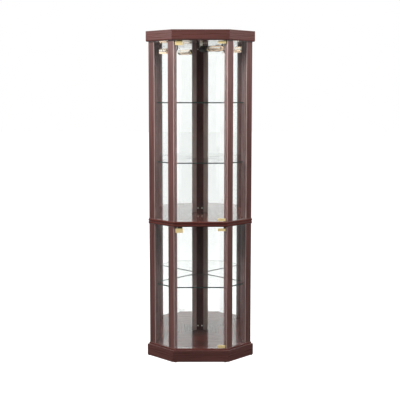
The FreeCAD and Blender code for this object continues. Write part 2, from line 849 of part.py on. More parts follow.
def hinge_clamp(name, level, upside_down):
    """Fold a clamp round the glass edge and stand its pivot pin on the hinge line."""
    turn = FreeCAD.Rotation(VECTOR(1, 0, 0), 180 if upside_down else 0)
    body = add_body(name, (HINGE_X, HINGE_Y, level), turn)
    bridge = "(-Sizes.clamp_bridge)"
    rise = size("clamp_rise")
    section = (
        (f"-{CLAMP_OUTER}", bridge),
        (CLAMP_OUTER, bridge),
        (CLAMP_OUTER, rise),
        (CLAMP_HALF, rise),
        (CLAMP_HALF, "0"),
        (f"-{CLAMP_HALF}", "0"),
        (f"-{CLAMP_HALF}", rise),
        (f"-{CLAMP_OUTER}", rise),
    )
    start = "(Sizes.clamp_overhang - Sizes.clamp_length)"
    sketch = polygon_sketch(body, f"{name}_section", section, "YZ_Plane", start)
    fold = pad(body, sketch, size("clamp_length"))
    rise_value = value(rise)
    eased = soften(
        body,
        fold,
        lambda edge, middle: near(middle.z, rise_value) and edge.Length < value(size("clamp_bridge")) * 2,
        size("clamp_wall"),
    )
    pin = circles_sketch(body, f"{name}_pin", [("0", "0")], size("pin_radius"), offset=bridge)
    pad(body, pin, size("pin_length"), down=True)
    return body


def door_hinges(unit):
    """Make the bottom and the top clamp of a door."""
    bottom, top = door_levels(unit)
    foot = hinge_clamp(f"{unit}_foot_clamp", bottom, upside_down=False)
    head = hinge_clamp(f"{unit}_head_clamp", top, upside_down=True)
    return keep_group(f"{unit}_door_hinge_clamps", (foot, head))


def strike_clip(unit):
    """Fold the latch's strike over the top edge of the glass, at the free corner."""
    name = f"{unit}_door_strike_clip"
    top = door_levels(unit)[1]
    body = add_body(name, (f"(Sizes.strike_inset - {DOOR_LATCH_REACH})", HINGE_Y, top))
    outer = "(Sizes.door_thickness / 2 + Sizes.clamp_grip_gap + Sizes.strike_wall)"
    inner = "(Sizes.door_thickness / 2 + Sizes.clamp_grip_gap)"
    foot = "(-Sizes.strike_height)"
    cap = "(Sizes.strike_wall)"
    section = (
        (f"-{outer}", foot),
        (f"-{inner}", foot),
        (f"-{inner}", "0"),
        (inner, "0"),
        (inner, foot),
        (outer, foot),
        (outer, cap),
        (f"-{outer}", cap),
    )
    sketch = polygon_sketch(body, f"{name}_section", section, "YZ_Plane")
    pad(body, sketch, size("strike_width"))
    return keep(body)


def turned(name, profile, base, rotation=None):
    """Spin a closed profile of (along the axis, radius) corners round the body's own X."""
    body = add_body(name, base, rotation)
    sketch = polygon_sketch(body, f"{name}_profile", profile, "XZ_Plane")
    feature = body.newObject("PartDesign::Revolution", f"{name}_turned")
    feature.Profile = sketch
    feature.ReferenceAxis = (sketch, ["H_Axis"])
    feature.Angle = 360
    doc.recompute()
    return body


UP = FreeCAD.Rotation(VECTOR(0, 1, 0), -90)
DOWN = FreeCAD.Rotation(VECTOR(0, 1, 0), 90)
INWARD = FreeCAD.Rotation(VECTOR(0, 0, 1), 90)


def bush(name, level, gap, rotation):
    """Turn a flanged bush whose flange faces the door's clamp across the running gap."""
    bore = "(Sizes.pin_radius + Sizes.pin_clearance)"
    sleeve = "(-Sizes.bush_depth)"
    flange = f"({gap} - Sizes.clamp_bridge - Sizes.bush_running_gap)"
    profile = (
        (sleeve, bore),
        (flange, bore),
        (flange, f"({BUSH_RADIUS} + Sizes.bush_flange)"),
        ("0", f"({BUSH_RADIUS} + Sizes.bush_flange)"),
        ("0", BUSH_RADIUS),
        (sleeve, BUSH_RADIUS),
    )
    return turned(name, profile, (HINGE_X, HINGE_Y, level), rotation)


def latch_body(unit):
    """Make the housing of a push latch, bored for its plunger."""
    name = f"{unit}_latch_housing"
    ceiling = UNITS[unit][1]
    body = add_body(name, (LATCH_X, LATCH_Y, f"({ceiling} - Sizes.latch_height)"))
    half = "(Sizes.latch_width / 2)"
    corners = (
        (f"-{half}", "0"),
        (half, "0"),
        (half, size("latch_length")),
        (f"-{half}", size("latch_length")),
    )
    block = pad(body, polygon_sketch(body, f"{name}_plan", corners), size("latch_height"))
    soften(body, block, lambda edge, middle: is_upright(edge), size("latch_round"))
    rise = "(Sizes.latch_height - Sizes.latch_drop)"
    bore = circles_sketch(
        body, f"{name}_bore", [("0", rise)], "(Sizes.plunger_radius + Sizes.plunger_clearance)", "XZ_Plane"
    )
    depth = "(Sizes.plunger_tail + Sizes.plunger_travel + Sizes.latch_round)"
    pocket(body, bore, depth)
    return body


def latch_plunger(unit):
    """Make the plunger, which reaches from inside the housing to the door's strike."""
    name = f"{unit}_latch_plunger"
    strike_back = "(Sizes.door_thickness / 2 + Sizes.clamp_grip_gap + Sizes.strike_wall)"
    front = f"({HINGE_Y} + {strike_back} + Sizes.plunger_contact_gap)"
    length = f"({LATCH_Y} + Sizes.plunger_tail - {front})"
    profile = (
        ("0", "0"),
        ("0", size("plunger_radius")),
        (length, size("plunger_radius")),
        (length, "0"),
    )
    level = f"({UNITS[unit][1]} - Sizes.latch_drop)"
    return keep(turned(name, profile, (LATCH_X, front, level), INWARD))


bushes = []
for unit, (floor_level, ceiling_level) in UNITS.items():
    door_glass(unit)
    door_hinges(unit)
    strike_clip(unit)
    latch_plunger(unit)
    head_gap = size(f"{unit}_door_head_gap")
    bushes.append(bush(f"{unit}_foot_bush", floor_level, size("door_foot_gap"), UP))
    bushes.append(bush(f"{unit}_head_bush", ceiling_level, head_gap, DOWN))
keep_group("hinge_bushes", bushes)
keep_group("latch_bodies", [latch_body(unit) for unit in UNITS])


# ---------------------------------------------------------------- lamp

ALONG_LAMP = FreeCAD.Rotation(VECTOR(0, 0, 1), -value(size("lamp_turn")))
LAMP_BASE = (LAMP_X, LAMP_Y, LAMP_LEVEL)
LEAD_HOLE = "(Sizes.lead_radius + Sizes.fit_gap)"

bracket = add_body("lamp_bracket", LAMP_BASE, ALONG_LAMP)
sheet_back = "(-Sizes.bracket_sheet)"
bracket_section = (
    (sheet_back, "(-Sizes.bracket_width / 2)"),
    ("0", "(-Sizes.bracket_width / 2)"),
    ("0", "(Sizes.lamp_drop - Sizes.bracket_sheet)"),
    (size("bracket_foot"), "(Sizes.lamp_drop - Sizes.bracket_sheet)"),
    (size("bracket_foot"), size("lamp_drop")),
    (sheet_back, size("lamp_drop")),
)
bracket_sketch = polygon_sketch(
    bracket, "bracket_section", bracket_section, "XZ_Plane", "(-Sizes.bracket_width / 2)"
)
pad(bracket, bracket_sketch, size("bracket_width"))
entry = circles_sketch(bracket, "bracket_lead_hole", [("0", "0")], LEAD_HOLE, "YZ_Plane")
pocket(bracket, entry, size("bracket_sheet"))
keep(bracket)

socket_mouth = "(Sizes.screw_shell_radius + Sizes.fit_gap)"
socket_floor = "(Sizes.socket_length - Sizes.screw_shell_length + Sizes.screw_shell_show - Sizes.fit_gap)"
socket_profile = (
    ("0", LEAD_HOLE),
    (socket_floor, LEAD_HOLE),
    (socket_floor, socket_mouth),
    (size("socket_length"), socket_mouth),
    (size("socket_length"), "(Sizes.socket_radius - Sizes.socket_end_round)"),
    ("(Sizes.socket_length - Sizes.socket_end_round)", size("socket_radius")),
    (size("socket_end_round"), size("socket_radius")),
    ("0", "(Sizes.socket_radius - Sizes.socket_end_round)"),
)
keep(turned("lamp_socket", socket_profile, LAMP_BASE, ALONG_LAMP))

shell_start = "(Sizes.socket_length - Sizes.screw_shell_length + Sizes.screw_shell_show)"
shell_end = "(Sizes.socket_length + Sizes.screw_shell_show)"
shell_inner = "(Sizes.bulb_neck_radius + Sizes.fit_gap)"
shell_floor = f"({shell_start} + Sizes.socket_end_round)"
shell_profile = (
    (shell_start, "0"),
    (shell_start, size("screw_shell_radius")),
    (shell_end, size("screw_shell_radius")),
    (shell_end, shell_inner),
    (shell_floor, shell_inner),
    (shell_floor, "0"),
)
keep(turned("bulb_screw_shell", shell_profile, LAMP_BASE, ALONG_LAMP))


def bulb():
    """Blow the tubular bulb: a neck inside the screw shell, a shoulder, a tube and a round end."""
    body = add_body("bulb_glass", LAMP_BASE, ALONG_LAMP)
    neck = size("bulb_neck_radius")
    radius = size("bulb_radius")
    neck_start = f"({shell_end} - Sizes.bulb_neck_length)"
    shoulder_start = f"({shell_end} + Sizes.fit_gap)"
    shoulder_end = f"({shoulder_start} + {radius} - {neck})"
    dome_start = f"({shell_end} + Sizes.bulb_length - {radius})"
    corners = (
        (neck_start, "0"),
        (neck_start, neck),
        (shoulder_start, neck),
        (shoulder_end, radius),
        (dome_start, radius),
    )
    sketch = start_sketch(body, "bulb_profile", "XZ_Plane", "0")
    points = [VECTOR(value(x), value(y), 0) for x, y in corners]
    for first, last in zip(points, points[1:]):
        sketch.addGeometry(Part.LineSegment(first, last), False)
    runs = len(points) - 1
    centre = VECTOR(value(dome_start), 0, 0)
    full = Part.Circle(centre, VECTOR(0, 0, 1), value(radius))
    sketch.addGeometry(Part.ArcOfCircle(full, 0, math.pi / 2), False)
    tip = centre + VECTOR(value(radius), 0, 0)
    sketch.addGeometry(Part.LineSegment(tip, points[0]), False)
    dome, axis = runs, runs + 1
    for index in range(runs - 1):
        sketch.addConstraint(Sketcher.Constraint("Coincident", index, 2, index + 1, 1))
    sketch.addConstraint(Sketcher.Constraint("Coincident", runs - 1, 2, dome, 2))
    sketch.addConstraint(Sketcher.Constraint("Coincident", dome, 1, axis, 1))
    sketch.addConstraint(Sketcher.Constraint("Coincident", axis, 2, 0, 1))
    for index, (x, y) in enumerate(corners[:-1]):
        fix_point(sketch, index, 1, x, y)
    fix_point(sketch, runs - 1, 2, *corners[-1])
    fix_point(sketch, dome, 3, dome_start, "0")
    sketch.addConstraint(Sketcher.Constraint("PointOnObject", dome, 1, -1))
    feature = body.newObject("PartDesign::Revolution", "bulb_turned")
    feature.Profile = sketch
    feature.ReferenceAxis = (sketch, ["H_Axis"])
    feature.Angle = 360
    doc.recompute()
    return keep(body)


bulb()


def bent_wire(corners, radius):
    """Join straight runs by tangent arcs of one radius."""
    edges = []
    start = corners[0]
    for before, corner, after in zip(corners, corners[1:], corners[2:]):
        inward = (before - corner).normalize()
        outward = (after - corner).normalize()
        half_angle = inward.getAngle(outward) / 2
        reach = radius / math.tan(half_angle)
        first = corner + inward * reach
        last = corner + outward * reach
        bisector = (inward + outward).normalize()
        middle = corner + bisector * (radius / math.sin(half_angle) - radius)
        edges.append(Part.makeLine(start, first))
        edges.append(Part.Arc(first, middle, last).toShape())
        start = last
    edges.append(Part.makeLine(start, corners[-1]))
    return Part.Wire(edges)


def place(x, y, z):
    """Work out a point from three expressions."""
    return VECTOR(value(x), value(y), value(z))


lead_run_level = f"({UPPER_CEILING} + {LEAD_RUN_RISE})"
lead_start = place(*LAMP_BASE)
along_axis = (lead_start - place(LEAD_X, LEAD_Y, LAMP_LEVEL)).normalize()
lead_corners = (
    lead_start + along_axis * value(socket_floor) / 2,
    place(LEAD_X, LEAD_Y, LAMP_LEVEL),
    place(LEAD_X, LEAD_Y, lead_run_level),
)
lead_path = bent_wire(lead_corners, value(size("lead_bend")))
lead_ring = Part.Circle(lead_corners[0], along_axis, value(size("lead_radius"))).toShape()
lead = doc.addObject("Part::Feature", "lamp_lead")
lead.Shape = lead_path.makePipeShell([Part.Wire([lead_ring])], True, True)
keep(lead, "lamp_lead")


def grommet(name, depth, base, rotation):
    """Turn a grommet: a sleeve through a board and a flange on its inner face."""
    sleeve = f"(-{depth})"
    profile = (
        (sleeve, LEAD_HOLE),
        (size("grommet_flange"), LEAD_HOLE),
        (size("grommet_flange"), size("grommet_flange_radius")),
        ("0", size("grommet_flange_radius")),
        ("0", size("grommet_radius")),
        (sleeve, size("grommet_radius")),
    )
    return turned(name, profile, base, rotation)


inner_x, inner_y = plan_point(LEFT, LEAD_ALONG, CORNICE_PLAN)
off_the_wall = FreeCAD.Rotation(VECTOR(0, 0, 1), -45)
grommets = (
    grommet("ceiling_grommet", size("board_thickness"), (LEAD_X, LEAD_Y, UPPER_CEILING), DOWN),
    grommet("outlet_grommet", CORNICE_PLAN, (inner_x, inner_y, lead_run_level), off_the_wall),
)
keep_group("lead_grommets", grommets)


# ---------------------------------------------------------------- small repeated pieces


def scatter(name, master, places):
    """Set copies of one piece at many places, as one sub-part."""
    copies = []
    for index, (base, rotation) in enumerate(places, start=1):
        copy = doc.addObject("App::Link", f"{name}_{index}")
        copy.LinkedObject = master
        copy.LinkTransform = False
        copy.Placement = FreeCAD.Placement(VECTOR(), rotation)
        for axis, expression in zip("xyz", base):
            if expression != "0":
                copy.setExpression(f"Placement.Base.{axis}", expression)
        copies.append(copy)
    return keep_group(name, copies)


STRAIGHT_UP = FreeCAD.Rotation()
FORWARD = FreeCAD.Rotation(VECTOR(0, 0, 1), -90)
FROM_FACET = {
    LEFT: FreeCAD.Rotation(VECTOR(0, 0, 1), 45),
    RIGHT: FreeCAD.Rotation(VECTOR(0, 0, 1), 135),
}

glide_profile = (
    ("0", "0"),
    ("0", size("glide_radius")),
    (size("glide_height"), size("glide_radius")),
    (size("glide_height"), "0"),
)
glide_master = turned("glide_master", glide_profile, ("0", "0", "0"))
set_in = size("glide_setback")
glide_outline = pentagon(set_in, set_in, set_in)
front_glides = [
    (f"({side} * ({HALF_FRONT} - Sizes.glide_inset))", f"({FRONT_Y} + {set_in})")
    for side in SIDE_NAMES
]
scatter("glides", glide_master, [((x, y, "0"), UP) for x, y in front_glides + list(glide_outline[2:])])

peg_profile = (
    (f"(-{size('peg_depth')})", "0"),
    (f"(-{size('peg_depth')})", size("peg_radius")),
    (size("peg_reach"), size("peg_radius")),
    (size("peg_reach"), "0"),
)
peg_master = turned("peg_master", peg_profile, ("0", "0", "0"))


def inner_face_places(level):
    """Give the places on the posts' inner faces, at one level, with their facings."""
    places = []
    for side in SIDE_NAMES:
        for across in (FRONT_PEG_ACROSS, SIDE_PEG_ACROSS):
            x, y = plan_point(side, POST_INNER, across)
            places.append(((x, y, level), FROM_FACET[side]))
    for end in (-1, 1):
        places.append(((f"({end} * Sizes.peg_spread / 2)", CORNER_FACE_Y, level), FORWARD))
    return places


peg_places = []
for _, shelf_height in SHELVES.values():
    peg_places += inner_face_places(f"({shelf_height} - Sizes.peg_radius)")
scatter("shelf_pegs", peg_master, peg_places)

bolt_profile = (
    (f"(-{size('bolt_head_height')})", "0"),
    (f"(-{size('bolt_head_height')})", size("bolt_head_radius")),
    ("0", size("bolt_head_radius")),
    ("0", size("bolt_radius")),
    ("(Sizes.board_thickness + Sizes.bolt_bite)", size("bolt_radius")),
    ("(Sizes.board_thickness + Sizes.bolt_bite)", "0"),
)
bolt_master = turned("bolt_master", bolt_profile, ("0", "0", "0"))
scatter("unit_bolts", bolt_master, [((x, y, LOWER_CEILING), UP) for x, y in BOLT_PLACES])


# ---------------------------------------------------------------- check and write

doc.recompute()
for item in doc.Objects:
    faults = {"Invalid", "Error"} & set(item.State)
    if faults:
        raise RuntimeError(f"{item.Label} is {faults}")
os.makedirs("parts", exist_ok=True)
for node in nodes:
    shape = node.Shape
    if shape.isNull() or not shape.isValid() or not shape.Solids:
        raise RuntimeError(f"{node.Label} has no sound solid")
    shape.exportStep(f"parts/{node.Label}.step")
box = Part.makeCompound([node.Shape for node in nodes]).BoundBox
print(f"{len(nodes)} sub-parts", box)
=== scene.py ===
"""Looks of a corner curio cabinet: laminate, clear panes, mirrors, brass hardware and a lamp.

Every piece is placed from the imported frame, in metres, with +Z up and the front facing -Y.
"""

import logging
import math
from dataclasses import dataclass, field
from enum import Enum

import bmesh
import bpy
from mathutils import Euler, Matrix, Vector
from mathutils.geometry import convex_hull_2d


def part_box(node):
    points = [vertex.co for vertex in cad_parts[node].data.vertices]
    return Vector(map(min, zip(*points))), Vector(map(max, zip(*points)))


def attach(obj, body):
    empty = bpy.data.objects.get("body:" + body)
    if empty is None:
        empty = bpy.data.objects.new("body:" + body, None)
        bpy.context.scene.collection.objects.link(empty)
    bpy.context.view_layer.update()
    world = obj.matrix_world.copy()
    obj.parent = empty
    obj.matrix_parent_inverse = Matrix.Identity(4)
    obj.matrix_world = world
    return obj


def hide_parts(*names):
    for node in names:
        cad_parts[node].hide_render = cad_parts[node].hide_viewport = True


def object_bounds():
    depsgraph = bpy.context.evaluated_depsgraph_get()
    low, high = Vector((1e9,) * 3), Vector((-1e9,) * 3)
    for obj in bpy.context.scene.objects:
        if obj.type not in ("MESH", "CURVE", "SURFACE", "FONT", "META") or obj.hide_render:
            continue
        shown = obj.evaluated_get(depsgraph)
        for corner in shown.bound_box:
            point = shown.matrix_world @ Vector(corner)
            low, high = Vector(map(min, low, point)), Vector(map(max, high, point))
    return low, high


LOG = logging.getLogger("curio_cabinet")
MM = 0.001
CABINET = "cabinet"
UNITS = ("lower", "upper")
ROWS = ("front", "side")
SIDES = ("left", "right")
SHELVES = ("lower_shelf", "middle_shelf", "top_shelf")
MERGE_DISTANCE = 1e-6
SMOOTH_ANGLE = math.radians(35)
BLACK = (0.0, 0.0, 0.0)
WHITE = (1.0, 1.0, 1.0)
PLAIN_IOR = 1.5

Triple = tuple[float, float, float]
Colour = Triple
Mesh = bmesh.types.BMesh
Node = bpy.types.Node
Socket = bpy.types.NodeSocket

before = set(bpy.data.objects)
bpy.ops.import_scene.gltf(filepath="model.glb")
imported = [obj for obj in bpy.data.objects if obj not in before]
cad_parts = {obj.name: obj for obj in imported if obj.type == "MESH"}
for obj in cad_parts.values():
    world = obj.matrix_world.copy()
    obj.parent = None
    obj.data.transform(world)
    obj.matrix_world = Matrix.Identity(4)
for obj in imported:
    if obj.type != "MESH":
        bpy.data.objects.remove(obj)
CAD_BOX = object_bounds()


class GrainRun(Enum):
    """The way the grain of a board or post runs."""

    UPRIGHT = "upright"
    ACROSS = "across"
    LEFT_FACET = "left_facet"
    RIGHT_FACET = "right_facet"

    def turn(self) -> Euler:
        """Give the rotation that lays the pattern's own X along the grain.

        Returns:
            The rotation.
        """
        degrees = {
            GrainRun.UPRIGHT: (0.0, 90.0, 0.0),
            GrainRun.ACROSS: (0.0, 0.0, 0.0),
            GrainRun.LEFT_FACET: (0.0, 0.0, 45.0),
            GrainRun.RIGHT_FACET: (0.0, 0.0, -45.0),
        }[self]
        return Euler([math.radians(angle) for angle in degrees])


# ------------------------------------------------------------------ shader groups


class Wiring:
    """A small helper that adds nodes to one tree and links them."""

    def __init__(self, tree: bpy.types.NodeTree) -> None:
        """Keep the tree of the material, world or group that the nodes go into."""
        self.tree = tree

    def fill(self, node: Node, inputs: dict[str | int, object]) -> None:
        """Set the inputs of a node.

        Args:
            node: The node.
            inputs: Its inputs by name or place, each with a socket to link, a colour, a vector or a number.
        """
        for label, term in inputs.items():
            target = node.inputs[label]
            if isinstance(term, Socket):
                self.tree.links.new(term, target)
            elif target.type == "RGBA":
                target.default_value = (*term, 1.0)
            else:
                target.default_value = term

    def node(self, kind: str, inputs: dict[str | int, object] | None = None, **settings: object) -> Node:
        """Add one node.

        Args:
            kind: The node's Blender type name.
            inputs: What its inputs take.
            **settings: Attributes to set on the node before its inputs.

        Returns:
            The new node.
        """
        made = self.tree.nodes.new(kind)
        for name, setting in settings.items():
            setattr(made, name, setting)
        self.fill(made, inputs or {})
        return made

    def group(self, tree: bpy.types.NodeTree, **inputs: object) -> bpy.types.bpy_prop_collection:
        """Place a node group, set its inputs by name and give its outputs."""
        return self.node("ShaderNodeGroup", inputs, node_tree=tree).outputs

    def coordinate(self, kind: str = "Object") -> Socket:
        """Give a texture coordinate, which is the place on the object unless another is named."""
        return self.node("ShaderNodeTexCoord").outputs[kind]

    def path(self, kind: str) -> Socket:
        """Give one of the marks of the light path."""
        return self.node("ShaderNodeLightPath").outputs[kind]

    def axes(self, vector: Socket) -> list[Socket]:
        """Split a vector into its X, Y and Z."""
        return list(self.node("ShaderNodeSeparateXYZ", {0: vector}).outputs)

    def maths(self, operation: str, first: object, second: object = 0.0) -> Socket:
        """Add a math node whose two terms are sockets or plain numbers, and give its result."""
        return self.node("ShaderNodeMath", {0: first, 1: second}, operation=operation).outputs[0]

    def spread(
        self, source: Socket, low: float, high: float, to_low: float = 0.0, to_high: float = 1.0
    ) -> Socket:
        """Map a range of values onto another, clamped.

        Args:
            source: The value to map.
            low: Where the incoming range starts.
            high: Where the incoming range ends.
            to_low: What the start becomes.
            to_high: What the end becomes.

        Returns:
            The mapped value.
        """
        ranges = {"Value": source, "From Min": low, "From Max": high, "To Min": to_low, "To Max": to_high}
        return self.node("ShaderNodeMapRange", ranges).outputs["Result"]

    def blend(self, share: object, first: object, second: object) -> Socket:
        """Mix two colours.

        Args:
            share: How much of the second colour shows, a socket or a number.
            first: A socket or a colour.
            second: A socket or a colour.

        Returns:
            The mixed colour.
        """
        factor, colour_a, colour_b, result = 0, 6, 7, 2
        terms = {factor: share, colour_a: first, colour_b: second}
        return self.node("ShaderNodeMix", terms, data_type="RGBA").outputs[result]

    def noise(self, vector: Socket, scale: float, detail: float = 3.0, distortion: float = 0.0) -> Socket:
        """Add a noise texture and give its value."""
        pattern = {"Vector": vector, "Scale": scale, "Detail": detail, "Distortion": distortion}
        return self.node("ShaderNodeTexNoise", pattern).outputs["Fac"]

    def mapped(self, vector: Socket, scale: Triple, turn: Euler | None = None) -> Socket:
        """Turn and stretch a pattern by its place."""
        inputs = {"Vector": vector, "Scale": scale, "Rotation": turn or Euler()}
        return self.node("ShaderNodeMapping", inputs).outputs["Vector"]

    def bump(self, height: Socket, strength: float, depth: float) -> Socket:
        """Turn a height into a normal.

        Args:
            height: The height value.
            strength: The bump's strength.
            depth: The bump's distance in metres.

        Returns:
            The normal.
        """
        inputs = {"Height": height, "Strength": strength, "Distance": depth}
        return self.node("ShaderNodeBump", inputs).outputs["Normal"]


def new_group(
    name: str, inputs: dict[str, object], outputs: dict[str, str]
) -> tuple[Wiring, bpy.types.bpy_prop_collection, Node]:
    """Start a shader node group with named sockets.

    Args:
        name: The group's name.
        inputs: The input names with their default values: None for a vector and a tuple for a colour.
        outputs: The output names with their socket types.

    Returns:
        The group's wiring, what its inputs give, and the node that takes its outputs.
    """
    group = bpy.data.node_groups.new(name, "ShaderNodeTree")
    for label, default in inputs.items():
        if default is None:
            group.interface.new_socket(label, in_out="INPUT", socket_type="NodeSocketVector")
        elif isinstance(default, tuple):
            socket = group.interface.new_socket(label, in_out="INPUT", socket_type="NodeSocketColor")
            socket.default_value = (*default, 1.0)
        else:
            socket = group.interface.new_socket(label, in_out="INPUT", socket_type="NodeSocketFloat")
            socket.default_value = default
    for label, kind in outputs.items():
        group.interface.new_socket(label, in_out="OUTPUT", socket_type=kind)
    wiring = Wiring(group)
    return wiring, wiring.node("NodeGroupInput").outputs, wiring.node("NodeGroupOutput")


def laminate_grain_group() -> bpy.types.NodeTree:
    """Make the printed wood grain: broad figure, fine streaks and short dark pores.

    Returns:
        A group whose own X runs along the grain.
    """
    wiring, given, end = new_group(
        "laminate_grain",
        {"Vector": None, "Dark": (0.02, 0.01, 0.01), "Light": (0.1, 0.05, 0.04), "Streak": 0.5, "Pores": 0.5},
        {"Color": "NodeSocketColor", "Roughness": "NodeSocketFloat", "Height": "NodeSocketFloat"},
    )
    vector = given["Vector"]
    figure_stretch = (1.6, 26.0, 26.0)
    streak_stretch = (5.0, 240.0, 240.0)
    pore_stretch = (34.0, 900.0, 900.0)
    figure = wiring.noise(wiring.mapped(vector, figure_stretch), 1.0, detail=4.0, distortion=1.2)
    streaks = wiring.noise(wiring.mapped(vector, streak_stretch), 1.0, detail=3.0, distortion=0.4)
    pores = wiring.noise(wiring.mapped(vector, pore_stretch), 1.0, detail=1.0)
    patches = wiring.noise(vector, 2.4, detail=2.0)
    broad = wiring.spread(figure, 0.36, 0.66)
    fine = wiring.spread(streaks, 0.34, 0.68)
    mixed = wiring.maths("ADD", wiring.maths("MULTIPLY", broad, 0.5), wiring.maths("MULTIPLY", fine, 0.5))
    centred = wiring.maths("MULTIPLY", wiring.maths("SUBTRACT", mixed, 0.5), given["Streak"])
    drift = wiring.spread(patches, 0.3, 0.7, to_low=-0.08, to_high=0.08)
    tone = wiring.maths("ADD", wiring.maths("ADD", centred, 0.5), drift)
    tone.node.use_clamp = True
    pore = wiring.maths("MULTIPLY", wiring.spread(pores, 0.6, 0.7), given["Pores"])
    colour = wiring.blend(tone, given["Dark"], given["Light"])
    results = {
        "Color": wiring.blend(pore, colour, given["Dark"]),
        "Roughness": wiring.spread(streaks, 0.3, 0.7, to_low=0.24, to_high=0.34),
        "Height": wiring.maths("SUBTRACT", wiring.maths("MULTIPLY", fine, 0.4), pore),
    }
    wiring.fill(end, results)
    return wiring.tree


def handling_group() -> bpy.types.NodeTree:
    """Make the marks of handling and dusting: a soft cloudy value and fine wipe lines.

    Returns:
        A group that puts out a roughness between its two limits, a height and a mask.
    """
    wiring, given, end = new_group(
        "handling_marks",
        {"Vector": None, "Smooth": 0.02, "Rough": 0.06, "Scale": 9.0},
        {"Roughness": "NodeSocketFloat", "Height": "NodeSocketFloat", "Mask": "NodeSocketFloat"},
    )
    scaled = wiring.node(
        "ShaderNodeVectorMath", {0: given["Vector"], "Scale": given["Scale"]}, operation="SCALE"
    ).outputs[0]
    wipe_stretch = (2.0, 30.0, 6.0)
    cloud = wiring.noise(scaled, 1.0, detail=4.0, distortion=0.6)
    wipe = wiring.noise(wiring.mapped(scaled, wipe_stretch), 1.0, detail=2.0, distortion=1.5)
    wiped = wiring.spread(wipe, 0.3, 0.7, to_low=0.5, to_high=1.0)
    marks = wiring.maths("MULTIPLY", wiring.spread(cloud, 0.42, 0.72), wiped)
    lift = wiring.maths("MULTIPLY", wiring.maths("SUBTRACT", given["Rough"], given["Smooth"]), marks)
    wiring.fill(end, {"Roughness": wiring.maths("ADD", lift, given["Smooth"]), "Height": wipe, "Mask": marks})
    return wiring.tree


GRAIN = laminate_grain_group()
HANDLING = handling_group()


def start_material(name: str) -> tuple[bpy.types.Material, Wiring, Node]:
    """Make an empty material with a Principled shader and an output.

    Args:
        name: The material's name.

    Returns:
        The material, its wiring and the Principled node.
    """
    material = bpy.data.materials.new(name)
    material.use_nodes = True
    material.node_tree.nodes.clear()
    wiring = Wiring(material.node_tree)
    principled = wiring.node("ShaderNodeBsdfPrincipled")
    wiring.node("ShaderNodeOutputMaterial", {"Surface": principled.outputs[0]})
    return material, wiring, principled


# ------------------------------------------------------------------ finishes


MIRRORED_WHITE = 1.25
# Strength of the painted white glow that surfaces show in their second mirror image.
PAINTED_GLOW_STRENGTH = 1.1
OUTER_DARK = (0.04, 0.0108, 0.0084)
OUTER_LIGHT = (0.125, 0.039, 0.032)
OUTER_STREAK = 0.8
OUTER_PORES = 0.5
GLASS_ROUGHNESS = 0.003


def paint_glow_in_second_mirror(wiring: Wiring, principled: Node, colour: Socket) -> Socket:
    """Paint a white glow on a surface in its second mirror image, so that it fades into the white
    surroundings there; the glow is painted light.

    Args:
        wiring: The material's wiring.
        principled: The material's shader, which gets the painted glow.
        colour: The surface's own colour.

    Returns:
        The colour, which turns black where the painted glow has taken over.
    """
    # Painted glow: past the first mirror the surface shows white emission instead of its own colour.
    glow_share = wiring.spread(wiring.path("Glossy Depth"), 1.0, 2.0)
    glow = {"Emission Color": wiring.blend(glow_share, BLACK, WHITE), "Emission Strength": PAINTED_GLOW_STRENGTH}
    wiring.fill(principled, glow)
    return wiring.blend(glow_share, colour, BLACK)


@dataclass(frozen=True)
class Finish:
    """A finish, which names its material and wires its shader."""

    name: str

    def wire(self, wiring: Wiring, principled: Node) -> None:
        """Wire the shader; each kind of finish does this in its own way.

        Args:
            wiring: The material's wiring.
            principled: The material's shader.
        """
        raise NotImplementedError

    def material(self) -> bpy.types.Material:
        """Build the material.

        Returns:
            The wired material.
        """
        material, wiring, principled = start_material(self.name)
        self.wire(wiring, principled)
        return material


